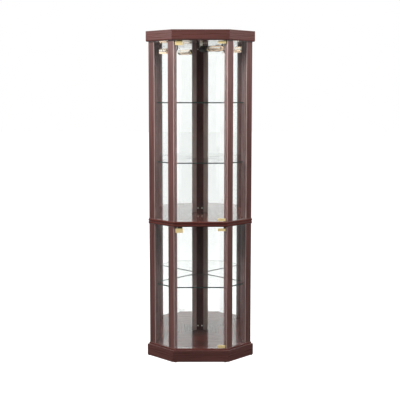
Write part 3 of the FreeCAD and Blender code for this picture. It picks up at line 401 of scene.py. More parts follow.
@dataclass(frozen=True)
class Laminate(Finish):
    """Dark mahogany laminate on board, with a satin top coat."""

    run: GrainRun
    dark: Colour = OUTER_DARK
    light: Colour = OUTER_LIGHT
    streak: float = OUTER_STREAK
    pores: float = OUTER_PORES
    coat: float = 1.0
    coat_roughness: float = 0.36
    coat_ior: float = 1.8
    relief: float = 0.25
    relief_depth: float = 0.4 * MM
    specular: float = 0.5
    glows_in_second_mirror: bool = False
    core_half: float = 0.0
    core_blur: float = 0.4 * MM
    core_dark: Colour = (0.056, 0.019, 0.015)
    core_light: Colour = (0.13, 0.048, 0.04)

    def wire(self, wiring: Wiring, principled: Node) -> None:
        """Wire the grain under its coat.

        Args:
            wiring: The material's wiring.
            principled: The material's shader.
        """
        turned = wiring.mapped(wiring.coordinate(), (1.0, 1.0, 1.0), self.run.turn())
        grain = wiring.group(
            GRAIN, Vector=turned, Dark=self.dark, Light=self.light, Streak=self.streak, Pores=self.pores
        )
        colour = grain["Color"]
        if self.core_half:
            colour = self.corner_colour(wiring, turned, colour)
        # Painted glow: white emission in the second mirror image.
        if self.glows_in_second_mirror:
            colour = paint_glow_in_second_mirror(wiring, principled, colour)
        surface = {
            "Base Color": colour,
            "Roughness": grain["Roughness"],
            "IOR": PLAIN_IOR,
            "Coat Weight": self.coat,
            "Coat Roughness": self.coat_roughness,
            "Coat IOR": self.coat_ior,
            "Specular IOR Level": self.specular,
            "Normal": wiring.bump(grain["Height"], self.relief, self.relief_depth),
        }
        wiring.fill(principled, surface)

    def corner_colour(self, wiring: Wiring, turned: Socket, wing: Socket) -> Socket:
        """Colour a corner post: a dark strip down the middle of its inside, wings painted pale as painted
        light, and a plain outside.

        Args:
            wiring: The material's wiring.
            turned: The place on the post, with its X along the grain.
            wing: The colour of the wings, a pale tone that is painted light.

        Returns:
            The colour of the whole post.
        """
        core = wiring.group(
            GRAIN, Vector=turned, Dark=self.core_dark, Light=self.core_light, Streak=self.streak
        )
        aside = wiring.maths("ABSOLUTE", wiring.axes(wiring.coordinate())[0])
        beyond = wiring.spread(aside, self.core_half - self.core_blur, self.core_half + self.core_blur)
        # Painted light: beyond the middle strip the wings take their pale painted tone.
        inside = wiring.blend(beyond, core["Color"], wing)
        outside = wiring.group(
            GRAIN, Vector=turned, Dark=OUTER_DARK, Light=OUTER_LIGHT, Streak=OUTER_STREAK, Pores=OUTER_PORES
        )
        faces_forward = wiring.maths("LESS_THAN", wiring.axes(wiring.coordinate("Normal"))[1], -0.3)
        return wiring.blend(faces_forward, outside["Color"], inside)


@dataclass(frozen=True)
class ClearGlass(Finish):
    """Clear float glass that lets light through, greener where it is seen through its edge.

    A sheet that lies level shows its edges on its upright faces, and a sheet that stands upright shows its
    top and bottom edges on its level ones.
    """

    edge: Colour = (0.002, 0.012, 0.009)
    face: Colour = (0.985, 0.995, 0.99)
    ground: float = 0.35
    level: bool = False
    shadow: Colour = (0.94, 0.96, 0.95)

    def wire(self, wiring: Wiring, principled: Node) -> None:
        """Wire the glass, and let shadow and diffuse rays pass straight through it.

        Args:
            wiring: The material's wiring.
            principled: The material's shader.
        """
        upward = wiring.maths("ABSOLUTE", wiring.axes(wiring.coordinate("Normal"))[2])
        ends = (1.0, 0.0) if self.level else (0.0, 1.0)
        edge = wiring.spread(upward, 0.5, 0.95, *ends)
        marks = wiring.group(HANDLING, Vector=wiring.coordinate(), Smooth=0.0, Rough=GLASS_ROUGHNESS)
        ground = wiring.maths("ADD", marks["Roughness"], wiring.maths("MULTIPLY", edge, self.ground))
        surface = {
            "Base Color": wiring.blend(edge, self.face, self.edge),
            "Roughness": ground,
            "IOR": PLAIN_IOR,
            "Transmission Weight": 1.0,
        }
        wiring.fill(principled, surface)
        passes = wiring.maths("MAXIMUM", wiring.path("Is Shadow Ray"), wiring.path("Is Diffuse Ray"))
        clear = wiring.node("ShaderNodeBsdfTransparent", {"Color": self.shadow})
        mix = wiring.node("ShaderNodeMixShader", {0: passes, 1: principled.outputs[0], 2: clear.outputs[0]})
        output = next(node for node in wiring.tree.nodes if node.type == "OUTPUT_MATERIAL")
        wiring.fill(output, {"Surface": mix.outputs[0]})


@dataclass(frozen=True)
class GlassDepth(Finish):
    """The dark green that shows where one looks into the edge of a sheet of glass."""

    dark: Colour = (0.008, 0.022, 0.019)
    light: Colour = (0.02, 0.05, 0.043)
    stretch: Triple = (60.0, 60.0, 500.0)

    def wire(self, wiring: Wiring, principled: Node) -> None:
        """Wire a cloudy green.

        Args:
            wiring: The material's wiring.
            principled: The material's shader.
        """
        cloud = wiring.noise(wiring.mapped(wiring.coordinate(), self.stretch), 1.0)
        surface = {
            "Base Color": wiring.blend(wiring.spread(cloud, 0.35, 0.65), self.dark, self.light),
            "Roughness": wiring.spread(cloud, 0.3, 0.7, to_low=0.35, to_high=0.5),
        }
        wiring.fill(principled, surface)


@dataclass(frozen=True)
class PolishedMetal(Finish):
    """Metal with a worn polish: brass, nickel or zinc."""

    colour: Colour
    tarnish: Colour
    smooth: float = 0.12
    rough: float = 0.3
    scale: float = 60.0
    metallic: float = 1.0
    glows_in_second_mirror: bool = False

    def wire(self, wiring: Wiring, principled: Node) -> None:
        """Wire the metal and the marks of wear on it.

        Args:
            wiring: The material's wiring.
            principled: The material's shader.
        """
        marks = wiring.group(
            HANDLING, Vector=wiring.coordinate(), Smooth=self.smooth, Rough=self.rough, Scale=self.scale
        )
        colour = wiring.blend(marks["Mask"], self.colour, self.tarnish)
        # Painted glow: white emission in the second mirror image.
        if self.glows_in_second_mirror:
            colour = paint_glow_in_second_mirror(wiring, principled, colour)
        surface = {
            "Base Color": colour,
            "Roughness": marks["Roughness"],
            "Metallic": self.metallic,
            "Normal": wiring.bump(marks["Height"], 0.08, 0.1 * MM),
        }
        wiring.fill(principled, surface)


@dataclass(frozen=True)
class Silvering(Finish):
    """Silvered mirror glass, faintly grey, with light marks of dusting."""

    clean: Colour = (0.955, 0.965, 0.96)
    dusty: Colour = (0.93, 0.94, 0.935)

    def wire(self, wiring: Wiring, principled: Node) -> None:
        """Wire the mirror.

        Args:
            wiring: The material's wiring.
            principled: The material's shader.
        """
        marks = wiring.group(HANDLING, Vector=wiring.coordinate(), Smooth=0.0, Rough=GLASS_ROUGHNESS)
        colour = wiring.blend(marks["Mask"], self.clean, self.dusty)
        wiring.fill(principled, {"Base Color": colour, "Roughness": marks["Roughness"], "Metallic": 1.0})


@dataclass(frozen=True)
class MouldedPlastic(Finish):
    """Moulded plastic or rubber with a fine grain."""

    colour: Colour
    smooth: float = 0.35
    rough: float = 0.55
    scale: float = 40.0
    grain: float = 1400.0

    def wire(self, wiring: Wiring, principled: Node) -> None:
        """Wire the plastic, a little lighter where it is rubbed.

        Args:
            wiring: The material's wiring.
            principled: The material's shader.
        """
        point = wiring.coordinate()
        marks = wiring.group(HANDLING, Vector=point, Smooth=self.smooth, Rough=self.rough, Scale=self.scale)
        rubbed = tuple(min(1.0, part * 1.5 + 0.01) for part in self.colour)
        surface = {
            "Base Color": wiring.blend(marks["Mask"], self.colour, rubbed),
            "Roughness": marks["Roughness"],
            "Normal": wiring.bump(wiring.noise(point, self.grain, detail=2.0), 0.2, 0.1 * MM),
        }
        wiring.fill(principled, surface)


@dataclass(frozen=True)
class Hardboard(Finish):
    """Pressed fibre board, matt and mottled."""

    dark: Colour = (0.15, 0.085, 0.05)
    light: Colour = (0.27, 0.165, 0.1)
    stretch: Triple = (220.0, 900.0, 400.0)
    cloud_scale: float = 16.0

    def wire(self, wiring: Wiring, principled: Node) -> None:
        """Wire fibres over a soft cloud.

        Args:
            wiring: The material's wiring.
            principled: The material's shader.
        """
        point = wiring.coordinate()
        fibres = wiring.noise(wiring.mapped(point, self.stretch), 1.0, distortion=0.5)
        cloud = wiring.noise(point, self.cloud_scale, detail=4.0)
        fibre_share = wiring.maths("MULTIPLY", fibres, 0.85)
        tone = wiring.maths("ADD", fibre_share, wiring.maths("MULTIPLY", cloud, 0.15))
        surface = {
            "Base Color": wiring.blend(wiring.spread(tone, 0.35, 0.65), self.dark, self.light),
            "Roughness": wiring.spread(cloud, 0.3, 0.7, to_low=0.65, to_high=0.85),
            "Normal": wiring.bump(fibres, 0.3, 0.3 * MM),
        }
        wiring.fill(principled, surface)


@dataclass(frozen=True)
class Glow(Finish):
    """A heated filament."""

    colour: Colour = (1.0, 0.66, 0.42)
    hottest: Colour = (1.0, 0.8, 0.6)
    cold: Colour = (0.5, 0.42, 0.36)
    strength: float = 1.4
    wave_scale: float = 300.0

    def wire(self, wiring: Wiring, principled: Node) -> None:
        """Wire a glow that varies along the wire.

        Args:
            wiring: The material's wiring.
            principled: The material's shader.
        """
        wave = wiring.noise(wiring.coordinate(), self.wave_scale, detail=1.0)
        surface = {
            "Emission Color": wiring.blend(wiring.spread(wave, 0.3, 0.7), self.colour, self.hottest),
            "Emission Strength": self.strength,
            "Base Color": self.cold,
            "Roughness": 0.5,
        }
        wiring.fill(principled, surface)


BOARD_STREAK = 0.5
BOARD_COAT = 0.5
LAMINATES = {
    run: Laminate(f"laminate_{run.value}", run, streak=BOARD_STREAK, coat=BOARD_COAT).material()
    for run in (GrainRun.ACROSS, GrainRun.LEFT_FACET, GrainRun.RIGHT_FACET)
}
LAMINATES[GrainRun.UPRIGHT] = Laminate("laminate_upright", GrainRun.UPRIGHT).material()
# Painted light: a lighter copy of the upright laminate for the front posts, standing in for the extra light
# they catch; they also glow white in their second mirror image.
FRONT_POST_PAINTED_LIGHTER = Laminate(
    "laminate_front_post_painted_lighter",
    GrainRun.UPRIGHT,
    dark=(0.052, 0.0165, 0.0135),
    light=(0.16, 0.056, 0.047),
    glows_in_second_mirror=True,
).material()
POLISHED = Laminate(
    "laminate_polished",
    GrainRun.ACROSS,
    dark=(0.036, 0.0085, 0.0063),
    light=(0.11, 0.028, 0.0215),
    streak=0.15,
    pores=0.08,
    coat_roughness=0.06,
    coat_ior=1.5,
    relief=0.02,
    specular=0.1,
).material()
# Painted light: the pale tones of this laminate stand in for the light and reflections that the corner post's
# inside wings catch.
CORNER_WITH_PAINTED_WINGS = Laminate(
    "laminate_corner_painted_wings",
    GrainRun.UPRIGHT,
    dark=(0.42, 0.325, 0.295),
    light=(0.7, 0.57, 0.53),
    streak=0.5,
    coat=0.1,
    specular=0.15,
    core_half=20.0 * MM,
).material()
# Painted highlight: a pale laminate for the edge beads, standing in for the highlights on the posts' rounded
# front edges; they also glow white in their second mirror image.
EDGE_HIGHLIGHT_PAINT = Laminate(
    "painted_edge_highlight",
    GrainRun.UPRIGHT,
    dark=(0.32, 0.21, 0.19),
    light=(0.55, 0.4, 0.37),
    streak=0.5,
    pores=0.1,
    glows_in_second_mirror=True,
).material()
PANE_GLASS = ClearGlass("pane_glass").material()
SHELF_GLASS = ClearGlass("shelf_glass", level=True).material()
BULB_GLASS = ClearGlass(
    "bulb_envelope_glass", edge=(1.0, 0.97, 0.93), face=(1.0, 0.99, 0.97), ground=0.0
).material()
GLASS_DEPTH = GlassDepth("glass_edge_depth").material()
MIRROR = Silvering("silvered_mirror_finish").material()
# Painted glow: the brass hardware glows white in its second mirror image.
BRASS = PolishedMetal(
    "polished_brass_finish",
    colour=(1.0, 0.8, 0.4),
    tarnish=(0.95, 0.72, 0.33),
    smooth=0.3,
    rough=0.4,
    metallic=0.45,
    glows_in_second_mirror=True,
).material()
LAMP_BRASS = PolishedMetal(
    "lamp_brass_finish", colour=(0.8, 0.64, 0.34), tarnish=(0.6, 0.42, 0.2), smooth=0.2, rough=0.4
).material()
NICKEL = PolishedMetal(
    "nickel_finish", colour=(0.72, 0.7, 0.67), tarnish=(0.6, 0.58, 0.54), smooth=0.15
).material()
ZINC = PolishedMetal(
    "zinc_finish", colour=(0.9, 0.86, 0.76), tarnish=(0.72, 0.68, 0.6), smooth=0.3, rough=0.45, metallic=0.5
).material()
BLACK_PLASTIC = MouldedPlastic("black_moulding", (0.004, 0.004, 0.004)).material()
BROWN_PLASTIC = MouldedPlastic("brown_moulding", (0.05, 0.022, 0.016)).material()
BLACK_RUBBER = MouldedPlastic("black_rubber_finish", (0.016, 0.016, 0.016), smooth=0.6, rough=0.8).material()
LEAD_JACKET = MouldedPlastic(
    "lead_jacket_finish", (0.014, 0.014, 0.014), smooth=0.4, rough=0.6, scale=80.0
).material()
BOARD_BACK = Hardboard("hardboard_backing").material()
FILAMENT = Glow("filament_glow").material()


# ------------------------------------------------------------------ making pieces


def dress(material: bpy.types.Material, *nodes: str) -> None:
    """Give nodes of the frame one finish in every slot.

    Args:
        material: The finish.
        *nodes: The nodes' names.
    """
    for node in nodes:
        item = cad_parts[node]
        if not item.data.materials:
            item.data.materials.append(material)
        for index in range(len(item.data.materials)):
            item.data.materials[index] = material
        LOG.info("dressed %s", node)


def finish_piece(
    name: str, mesh: Mesh, material: bpy.types.Material, body: str, smooth: bool = True
) -> bpy.types.Object:
    """Turn a bmesh into a finished piece that rides on a body.

    Args:
        name: The piece's name.
        mesh: The finished bmesh, in metres, in the row frame.
        material: Its finish.
        body: The body it rides on.
        smooth: Whether faces that meet at a small angle are shaded as one.

    Returns:
        The new object.
    """
    bmesh.ops.remove_doubles(mesh, verts=mesh.verts, dist=MERGE_DISTANCE)
    bmesh.ops.recalc_face_normals(mesh, faces=mesh.faces)
    if smooth:
        for face in mesh.faces:
            face.smooth = True
        for edge in mesh.edges:
            if len(edge.link_faces) == 2:
                edge.smooth = edge.calc_face_angle(0.0) < SMOOTH_ANGLE
    data = bpy.data.meshes.new(name)
    mesh.to_mesh(data)
    mesh.free()
    data.materials.append(material)
    piece = bpy.data.objects.new(name, data)
    bpy.context.scene.collection.objects.link(piece)
    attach(piece, body)
    LOG.info("built %s", name)
    return piece


def merge(target: Mesh, addition: Mesh, place: Matrix) -> None:
    """Add a copy of one bmesh to another at a place.

    Args:
        target: The bmesh that grows.
        addition: The bmesh that is copied; it stays as it is.
        place: Where the copy goes.
    """
    scratch = bpy.data.meshes.new("scratch")
    addition.to_mesh(scratch)
    scratch.transform(place)
    target.from_mesh(scratch)
    bpy.data.meshes.remove(scratch)


def spun(profile: list[tuple[float, float]], steps: int = 48) -> Mesh:
    """Spin an open or closed profile round the X axis.

    Args:
        profile: Points as (along the axis, radius) in metres, from one end to the other.
        steps: How many steps make a full turn.

    Returns:
        The spun shell.
    """
    shell = bmesh.new()
    points = [shell.verts.new((along, 0.0, radius)) for along, radius in profile]
    edges = [shell.edges.new(pair) for pair in zip(points, points[1:])]
    bmesh.ops.spin(
        shell,
        geom=points + edges,
        cent=(0.0, 0.0, 0.0),
        axis=(1.0, 0.0, 0.0),
        angle=2 * math.pi,
        steps=steps,
        use_merge=True,
    )
    bmesh.ops.remove_doubles(shell, verts=shell.verts, dist=MERGE_DISTANCE)
    bmesh.ops.recalc_face_normals(shell, faces=shell.faces)
    return shell


def rod(start: float, finish: float, radius: float, steps: int) -> Mesh:
    """Make a plain rod along the X axis with closed ends."""
    return spun([(start, 0.0), (start, radius), (finish, radius), (finish, 0.0)], steps)


def bevelled_bar(size: Triple) -> Mesh:
    """Make a bar about the origin with its sharp edges just taken off.

    Args:
        size: Its lengths along X, Y and Z, in metres.

    Returns:
        The bar.
    """
    bar = bmesh.new()
    bmesh.ops.create_cube(bar, size=1.0)
    bmesh.ops.scale(bar, vec=size, verts=bar.verts)
    bmesh.ops.bevel(
        bar,
        geom=bar.edges[:],
        offset=0.01 * MM,
        offset_type="OFFSET",
        segments=1,
        profile=0.5,
        affect="EDGES",
        material=-1,
    )
    return bar


def cross_head(radius: float, height: float, bar_width: float) -> Mesh:
    """Make a round screw or cam head along +X, standing on the plane X = 0, with a fine cross on its face.

    Args:
        radius: The head's radius.
        height: How far it stands out.
        bar_width: The width of the cross's two bars.

    Returns:
        The head.
    """
    chamfer = min(height, radius) * 0.35
    profile = [(0.0, radius), (height - chamfer, radius), (height, radius - chamfer), (height, 0.0)]
    head = spun(profile, steps=32)
    bar_length = radius * 0.72 * 2
    bar_depth = height * 0.5
    bar_level = height * 0.78
    for wide, tall in ((bar_length, bar_width), (bar_width, bar_length)):
        bar = bevelled_bar((bar_depth, wide, tall))
        merge(head, bar, Matrix.Translation((bar_level, 0.0, 0.0)))
        bar.free()
    return head


def face_middle(node: str, turn: float, flatness: float = 0.1 * MM) -> Vector:
    """Find the middle, in plan, of a node's outermost upright face in a direction.

    Args:
        node: The node's name.
        turn: The direction's angle from +X, in degrees.
        flatness: How far a point of the face may stand back from it.

    Returns:
        The middle of the face, at height 0.
    """
    outward = Vector((math.cos(math.radians(turn)), math.sin(math.radians(turn)), 0.0))
    points = [vertex.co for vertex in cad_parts[node].data.vertices]
    reach = max(point.dot(outward) for point in points)
    rim = [point for point in points if reach - point.dot(outward) < flatness]
    along = Vector((-outward.y, outward.x, 0.0))
    ends = [point.dot(along) for point in rim]
    return outward * reach + along * (min(ends) + max(ends)) / 2


# ------------------------------------------------------------------ sub-assemblies


class SubAssembly:
    """A part of the cabinet, which dresses its own nodes and builds its own pieces."""

    def dress(self) -> None:
        """Give the sub-assembly's nodes their finishes, where it has nodes."""

    def build(self) -> None:
        """Build the sub-assembly's own pieces, where it has some."""


@dataclass
class Carcass(SubAssembly):
    """The boards and posts: every laminated node of the frame, with its grain the right way."""

    decks: tuple[str, ...] = ("lower_floor_board", "lower_top_board", "upper_floor_board", "upper_top_board")
    bands: tuple[str, ...] = ("plinth", "cornice")

    def dress(self) -> None:
        """Give every board and post its laminate, and the hidden parts their own finishes."""
        for band in self.bands:
            dress(LAMINATES[GrainRun.ACROSS], f"{band}_front_board", f"{band}_back_boards")
            dress(LAMINATES[GrainRun.LEFT_FACET], f"{band}_left_board")
            dress(LAMINATES[GrainRun.RIGHT_FACET], f"{band}_right_board")
        dress(POLISHED, *self.decks)
        for unit in UNITS:
            dress(LAMINATES[GrainRun.UPRIGHT], f"{unit}_back_posts")
            dress(LAMINATES[GrainRun.UPRIGHT], *(f"{unit}_side_{side}_post" for side in SIDES))
            dress(FRONT_POST_PAINTED_LIGHTER, *(f"{unit}_front_{side}_post" for side in SIDES))
            dress(CORNER_WITH_PAINTED_WINGS, f"{unit}_corner_post")
            dress(BOARD_BACK, f"{unit}_backing_boards")
        dress(BOARD_BACK, "top_panel")
        dress(BLACK_PLASTIC, "glides")
        dress(ZINC, "unit_bolts")


@dataclass
class EdgeHighlightBeads(SubAssembly):
    """The pale bead along the front edge of every front and side post, whose pale colour is a painted
    highlight on the post's rounded edge.
    """

    radius: float = 1.7 * MM
    proud: float = 0.2 * MM
    end_gap: float = 1.0 * MM
    rim_depth: float = 0.05 * MM
    steps: int = 20

    def build(self) -> None:
        """Build the four beads of each unit."""
        for unit in UNITS:
            beads = bmesh.new()
            for row in ROWS:
                for side in SIDES:
                    self.bead(beads, f"{unit}_{row}_{side}_post")
            # Painted highlight: the beads take the pale edge-highlight laminate.
            finish_piece(f"{unit}_edge_highlight_beads", beads, EDGE_HIGHLIGHT_PAINT, CABINET)

    def bead(self, beads: Mesh, post: str) -> None:
        """Lay one bead on the foremost edge of a post.

        Args:
            beads: The bmesh that the bead joins.
            post: The post's node name.
        """
        low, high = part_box(post)
        corners = [vertex.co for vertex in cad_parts[post].data.vertices]
        rim = [point for point in corners if point.y - low.y < self.rim_depth]
        across = sum(point.x for point in rim) / len(rim)
        start, finish = low.z + self.end_gap, high.z - self.end_gap
        strip = rod(start, finish, self.radius, self.steps)
        place = Matrix.Translation((across, low.y + self.radius - self.proud, 0.0))
        merge(beads, strip, place @ Matrix.Rotation(math.radians(-90), 4, "Y"))
        strip.free()


@dataclass
class Glazing(SubAssembly):
    """Panes, doors, mirrors and shelves."""

    edge_inset: float = 0.5 * MM
    edge_wall: float = 5.0 * MM
    rear_edge_wall: float = 9.0 * MM
    edge_margin: float = 0.2 * MM

    def dress(self) -> None:
        """Give every sheet of glass its finish."""
        for unit in UNITS:
            dress(PANE_GLASS, f"{unit}_door_glass", *(f"{unit}_{side}_pane" for side in SIDES))
            dress(MIRROR, *(f"{unit}_{side}_mirror" for side in SIDES))
        dress(SHELF_GLASS, *SHELVES)
        dress(NICKEL, "shelf_pegs")

    def build(self) -> None:
        """Build the dark green edge of every shelf."""
        for shelf in SHELVES:
            self.shelf_edge(shelf)

    def shelf_edge(self, shelf: str) -> None:
        """Stand a thin closed band just inside the outline of a shelf, wider at the back.

        Args:
            shelf: The shelf's node name.
        """
        points = [vertex.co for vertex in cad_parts[shelf].data.vertices]
        order = convex_hull_2d([point.xy for point in points])
        outline = [points[index].xy for index in order]
        middle = sum(outline, Vector((0.0, 0.0))) / len(outline)
        low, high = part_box(shelf)
        bottom, top = low.z + self.edge_margin, high.z - self.edge_margin
        band = bmesh.new()
        ring = []
        for point in outline:
            start = point - (point - middle).normalized() * self.edge_inset
            ring.append(band.verts.new((start.x, start.y, bottom)))
        loop = [band.edges.new(pair) for pair in zip(ring, ring[1:] + ring[:1])]
        for rise, inward in ((top - bottom, 0.0), (0.0, 1.0), (bottom - top, 0.0), (0.0, -1.0)):
            grown = bmesh.ops.extrude_edge_only(band, edges=loop)["geom"]
            loop = [item for item in grown if isinstance(item, bmesh.types.BMEdge)]
            for vertex in (item for item in grown if isinstance(item, bmesh.types.BMVert)):
                reach = vertex.co.xy - middle
                wall = self.rear_edge_wall if reach.y > 0.0 else self.edge_wall
                step = reach.normalized() * inward * wall
                bmesh.ops.translate(band, vec=(-step.x, -step.y, rise), verts=[vertex])
        finish_piece(f"{shelf}_edge", band, GLASS_DEPTH, CABINET, smooth=False)


@dataclass
class DoorHardware(SubAssembly):
    """Hinge clamps with their small screws, strikes, bushes and push latches."""

    screw_radius: float = 2.6 * MM
    screw_height: float = 0.8 * MM
    cross_width: float = 0.7 * MM
    screw_spacing: float = 22.0 * MM
    screw_shift: float = 2.0 * MM
    screw_inset: float = 8.0 * MM

    def dress(self) -> None:
        """Give the hardware nodes their finishes."""
        for unit in UNITS:
            dress(BRASS, f"{unit}_door_hinge_clamps", f"{unit}_door_strike_clip")
            dress(BLACK_PLASTIC, f"{unit}_latch_plunger")
        dress(BROWN_PLASTIC, "hinge_bushes")
        dress(BLACK_PLASTIC, "latch_bodies")

    def build(self) -> None:
        """Build the clamp screws of both doors."""
        for unit in UNITS:
            self.clamp_screws(unit)

    def clamp_screws(self, unit: str) -> None:
        """Set two screws in the inner plate of each clamp of a door.

        Args:
            unit: The unit's name.
        """
        low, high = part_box(f"{unit}_door_hinge_clamps")
        glass_low, glass_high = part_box(f"{unit}_door_glass")
        head = cross_head(self.screw_radius, self.screw_height, self.cross_width)
        screws = bmesh.new()
        middle = (low.x + high.x) / 2 - self.screw_shift
        for level in (glass_low.z + self.screw_inset, glass_high.z - self.screw_inset):
            for end in (-0.5, 0.5):
                place = Matrix.Translation((middle + end * self.screw_spacing, high.y, level))
                merge(screws, head, place @ Matrix.Rotation(math.radians(90), 4, "Z"))
        head.free()
        finish_piece(f"{unit}_clamp_screws", screws, ZINC, f"{unit}_door")


@dataclass
class CamCovers(SubAssembly):
    """The small cam fittings that show on the inner faces of the posts."""

    radius: float = 4.5 * MM
    height: float = 0.9 * MM
    cross_width: float = 1.2 * MM
    floor_rise: float = 24.0 * MM
    ceiling_drop: float = 27.0 * MM
    spread: float = 24.0 * MM

    def facings(self, unit: str) -> list[tuple[Vector, float]]:
        """Find the places in plan and the directions that the fittings face.

        Args:
            unit: The unit's name.

        Returns:
            Points in plan, with the turn about Z that faces each fitting inwards.
        """
        places: list[tuple[Vector, float]] = []
        for row in ROWS:
            for side, turn in zip(SIDES, (45.0, 135.0)):
                places.append((face_middle(f"{unit}_{row}_{side}_post", turn), turn))
        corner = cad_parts[f"{unit}_corner_post"]
        flat = min(vertex.co.y for vertex in corner.data.vertices if abs(vertex.co.x) < self.spread)
        for end in (-0.5, 0.5):
            places.append((Vector((end * self.spread, flat, 0.0)), -90.0))
        return places

    def build(self) -> None:
        """Build the fittings of both units."""
        head = cross_head(self.radius, self.height, self.cross_width)
        for unit in UNITS:
            fittings = bmesh.new()
            low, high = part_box(f"{unit}_corner_post")
            for level in (low.z + self.floor_rise, high.z - self.ceiling_drop):
                for point, turn in self.facings(unit):
                    place = Matrix.Translation((point.x, point.y, level))
                    merge(fittings, head, place @ Matrix.Rotation(math.radians(turn), 4, "Z"))
            finish_piece(f"{unit}_cam_fittings", fittings, ZINC, CABINET)
        head.free()


@dataclass
class CabinetLamp(SubAssembly):
    """The lamp under the ceiling: socket, threaded shell, hollow bulb and glowing filament.

    Its pieces are made along +X, from the socket's back, and then moved to their place.
    """

    turn: float = math.radians(-39.0)
    socket_length: float = 48.0 * MM
    shell_radius: float = 13.0 * MM
    shell_show: float = 8.0 * MM
    bulb_radius: float = 16.0 * MM
    bulb_neck: float = 11.0 * MM
    bulb_length: float = 106.0 * MM
    neck_depth: float = 10.0 * MM
    glass_wall: float = 0.8 * MM
    wire_radius: float = 0.35 * MM
    wire_circle: float = 5.0 * MM
    wire_runs: int = 6
    wire_start: float = 14.0 * MM
    wire_end_gap: float = 22.0 * MM
    support_hole: float = 0.4 * MM
    support_radius: float = 5.6 * MM
    support_thickness: float = 0.5 * MM
    stem_root: tuple[float, float] = (-6.0 * MM, 7.0 * MM)
    stem_neck: tuple[float, float] = (4.0 * MM, 3.0 * MM)
    stem_waist: tuple[float, float] = (12.0 * MM, 2.0 * MM)
    stem_tip: tuple[float, float] = (6.0 * MM, 0.7 * MM)
    thread_turns: int = 3
    thread_steps: int = 8
    thread_root: float = 0.35 * MM
    thread_height: float = 0.45 * MM
    thread_lap: float = 1.0 * MM
    thread_start_drop: float = 0.2 * MM
    thread_end_drop: float = 1.2 * MM
    axis: Matrix = field(default_factory=Matrix)

    def __post_init__(self) -> None:
        """Find the lamp's axis: it starts at the middle of the socket's back."""
        low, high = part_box("lamp_socket")
        direction = Vector((math.cos(self.turn), math.sin(self.turn), 0.0))
        middle = (low + high) / 2
        start = middle - direction * self.socket_length / 2
        self.axis = Matrix.Translation(start) @ Matrix.Rotation(self.turn, 4, "Z")

    @property
    def shell_end(self) -> float:
        """Give the end of the screw shell along the axis."""
        return self.socket_length + self.shell_show

    @property
    def wire_end(self) -> float:
        """Give the end of the filament along the axis."""
        return self.shell_end + self.bulb_length - self.wire_end_gap

    def dress(self) -> None:
        """Give the lamp's nodes their finishes."""
        dress(BLACK_PLASTIC, "lamp_socket")
        dress(ZINC, "lamp_bracket")
        dress(LEAD_JACKET, "lamp_lead")
        dress(BLACK_RUBBER, "lead_grommets")
        dress(LAMP_BRASS, "bulb_screw_shell")

    def placed(self, part: Mesh) -> Mesh:
        """Move a part from the lamp's own frame to its place."""
        bmesh.ops.transform(part, matrix=self.axis, verts=part.verts)
        return part

    def build(self) -> None:
        """Build the bulb, its filament, stem and supports, and the thread."""
        self.envelope()
        self.filament()
        self.stem()
        self.supports()
        self.thread()

    def envelope(self) -> None:
        """Blow the hollow glass: neck, shoulder, tube and round end, with a wall."""
        outer = [(self.shell_end - self.neck_depth, self.bulb_neck), (self.shell_end, self.bulb_neck)]
        shoulder = self.bulb_radius - self.bulb_neck
        for angle in (math.radians(step) for step in (30, 60, 90)):
            along = self.shell_end + shoulder * math.sin(angle)
            outer.append((along, self.bulb_radius - shoulder * math.cos(angle)))
        dome = self.shell_end + self.bulb_length - self.bulb_radius
        for angle in (math.radians(step) for step in range(0, 91, 10)):
            outer.append((dome + self.bulb_radius * math.sin(angle), self.bulb_radius * math.cos(angle)))
        inner_end = self.shell_end + self.bulb_length - self.glass_wall
        inner = [
            (min(along, inner_end), max(radius - self.glass_wall, 0.0)) for along, radius in reversed(outer)
        ]
        glass = self.placed(spun(outer + inner, steps=56))
        piece = finish_piece("bulb_envelope", glass, BULB_GLASS, CABINET)
        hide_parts("bulb_glass")

    def filament(self) -> None:
        """String a long filament in straight runs round the stem."""
        start, finish = self.shell_end + self.wire_start, self.wire_end
        run = rod(start, finish, self.wire_radius, steps=8)
        wires = bmesh.new()
        for index in range(self.wire_runs):
            angle = 2 * math.pi * index / self.wire_runs
            offset = (0.0, self.wire_circle * math.cos(angle), self.wire_circle * math.sin(angle))
            merge(wires, run, Matrix.Translation(offset))
        run.free()
        finish_piece("bulb_filament", self.placed(wires), FILAMENT, CABINET)

    def stem(self) -> None:
        """Draw the glass stem, which tapers from the screw shell to past the filament's end.

        The root, neck and waist are placed from the shell's end, and the tip from the filament's end.
        """
        lower_points = (self.stem_root, self.stem_neck, self.stem_waist)
        taper = [(self.shell_end + along, radius) for along, radius in lower_points]
        taper.append((self.wire_end + self.stem_tip[0], self.stem_tip[1]))
        closed = [(taper[0][0], 0.0), *taper, (taper[-1][0], 0.0)]
        stem = self.placed(spun(closed, steps=16))
        finish_piece("bulb_stem", stem, BULB_GLASS, CABINET)

    def supports(self) -> None:
        """Set a small disc on the stem at each end of the filament."""
        supports = bmesh.new()
        for level in (self.shell_end + self.wire_start, self.wire_end):
            beyond = level + self.support_thickness
            section = [(level, self.support_hole), (level, self.support_radius)]
            section += [(beyond, self.support_radius), (beyond, self.support_hole), section[0]]
            disc = spun(section, steps=24)
            merge(supports, disc, Matrix())
            disc.free()
        finish_piece("bulb_supports", self.placed(supports), NICKEL, CABINET)

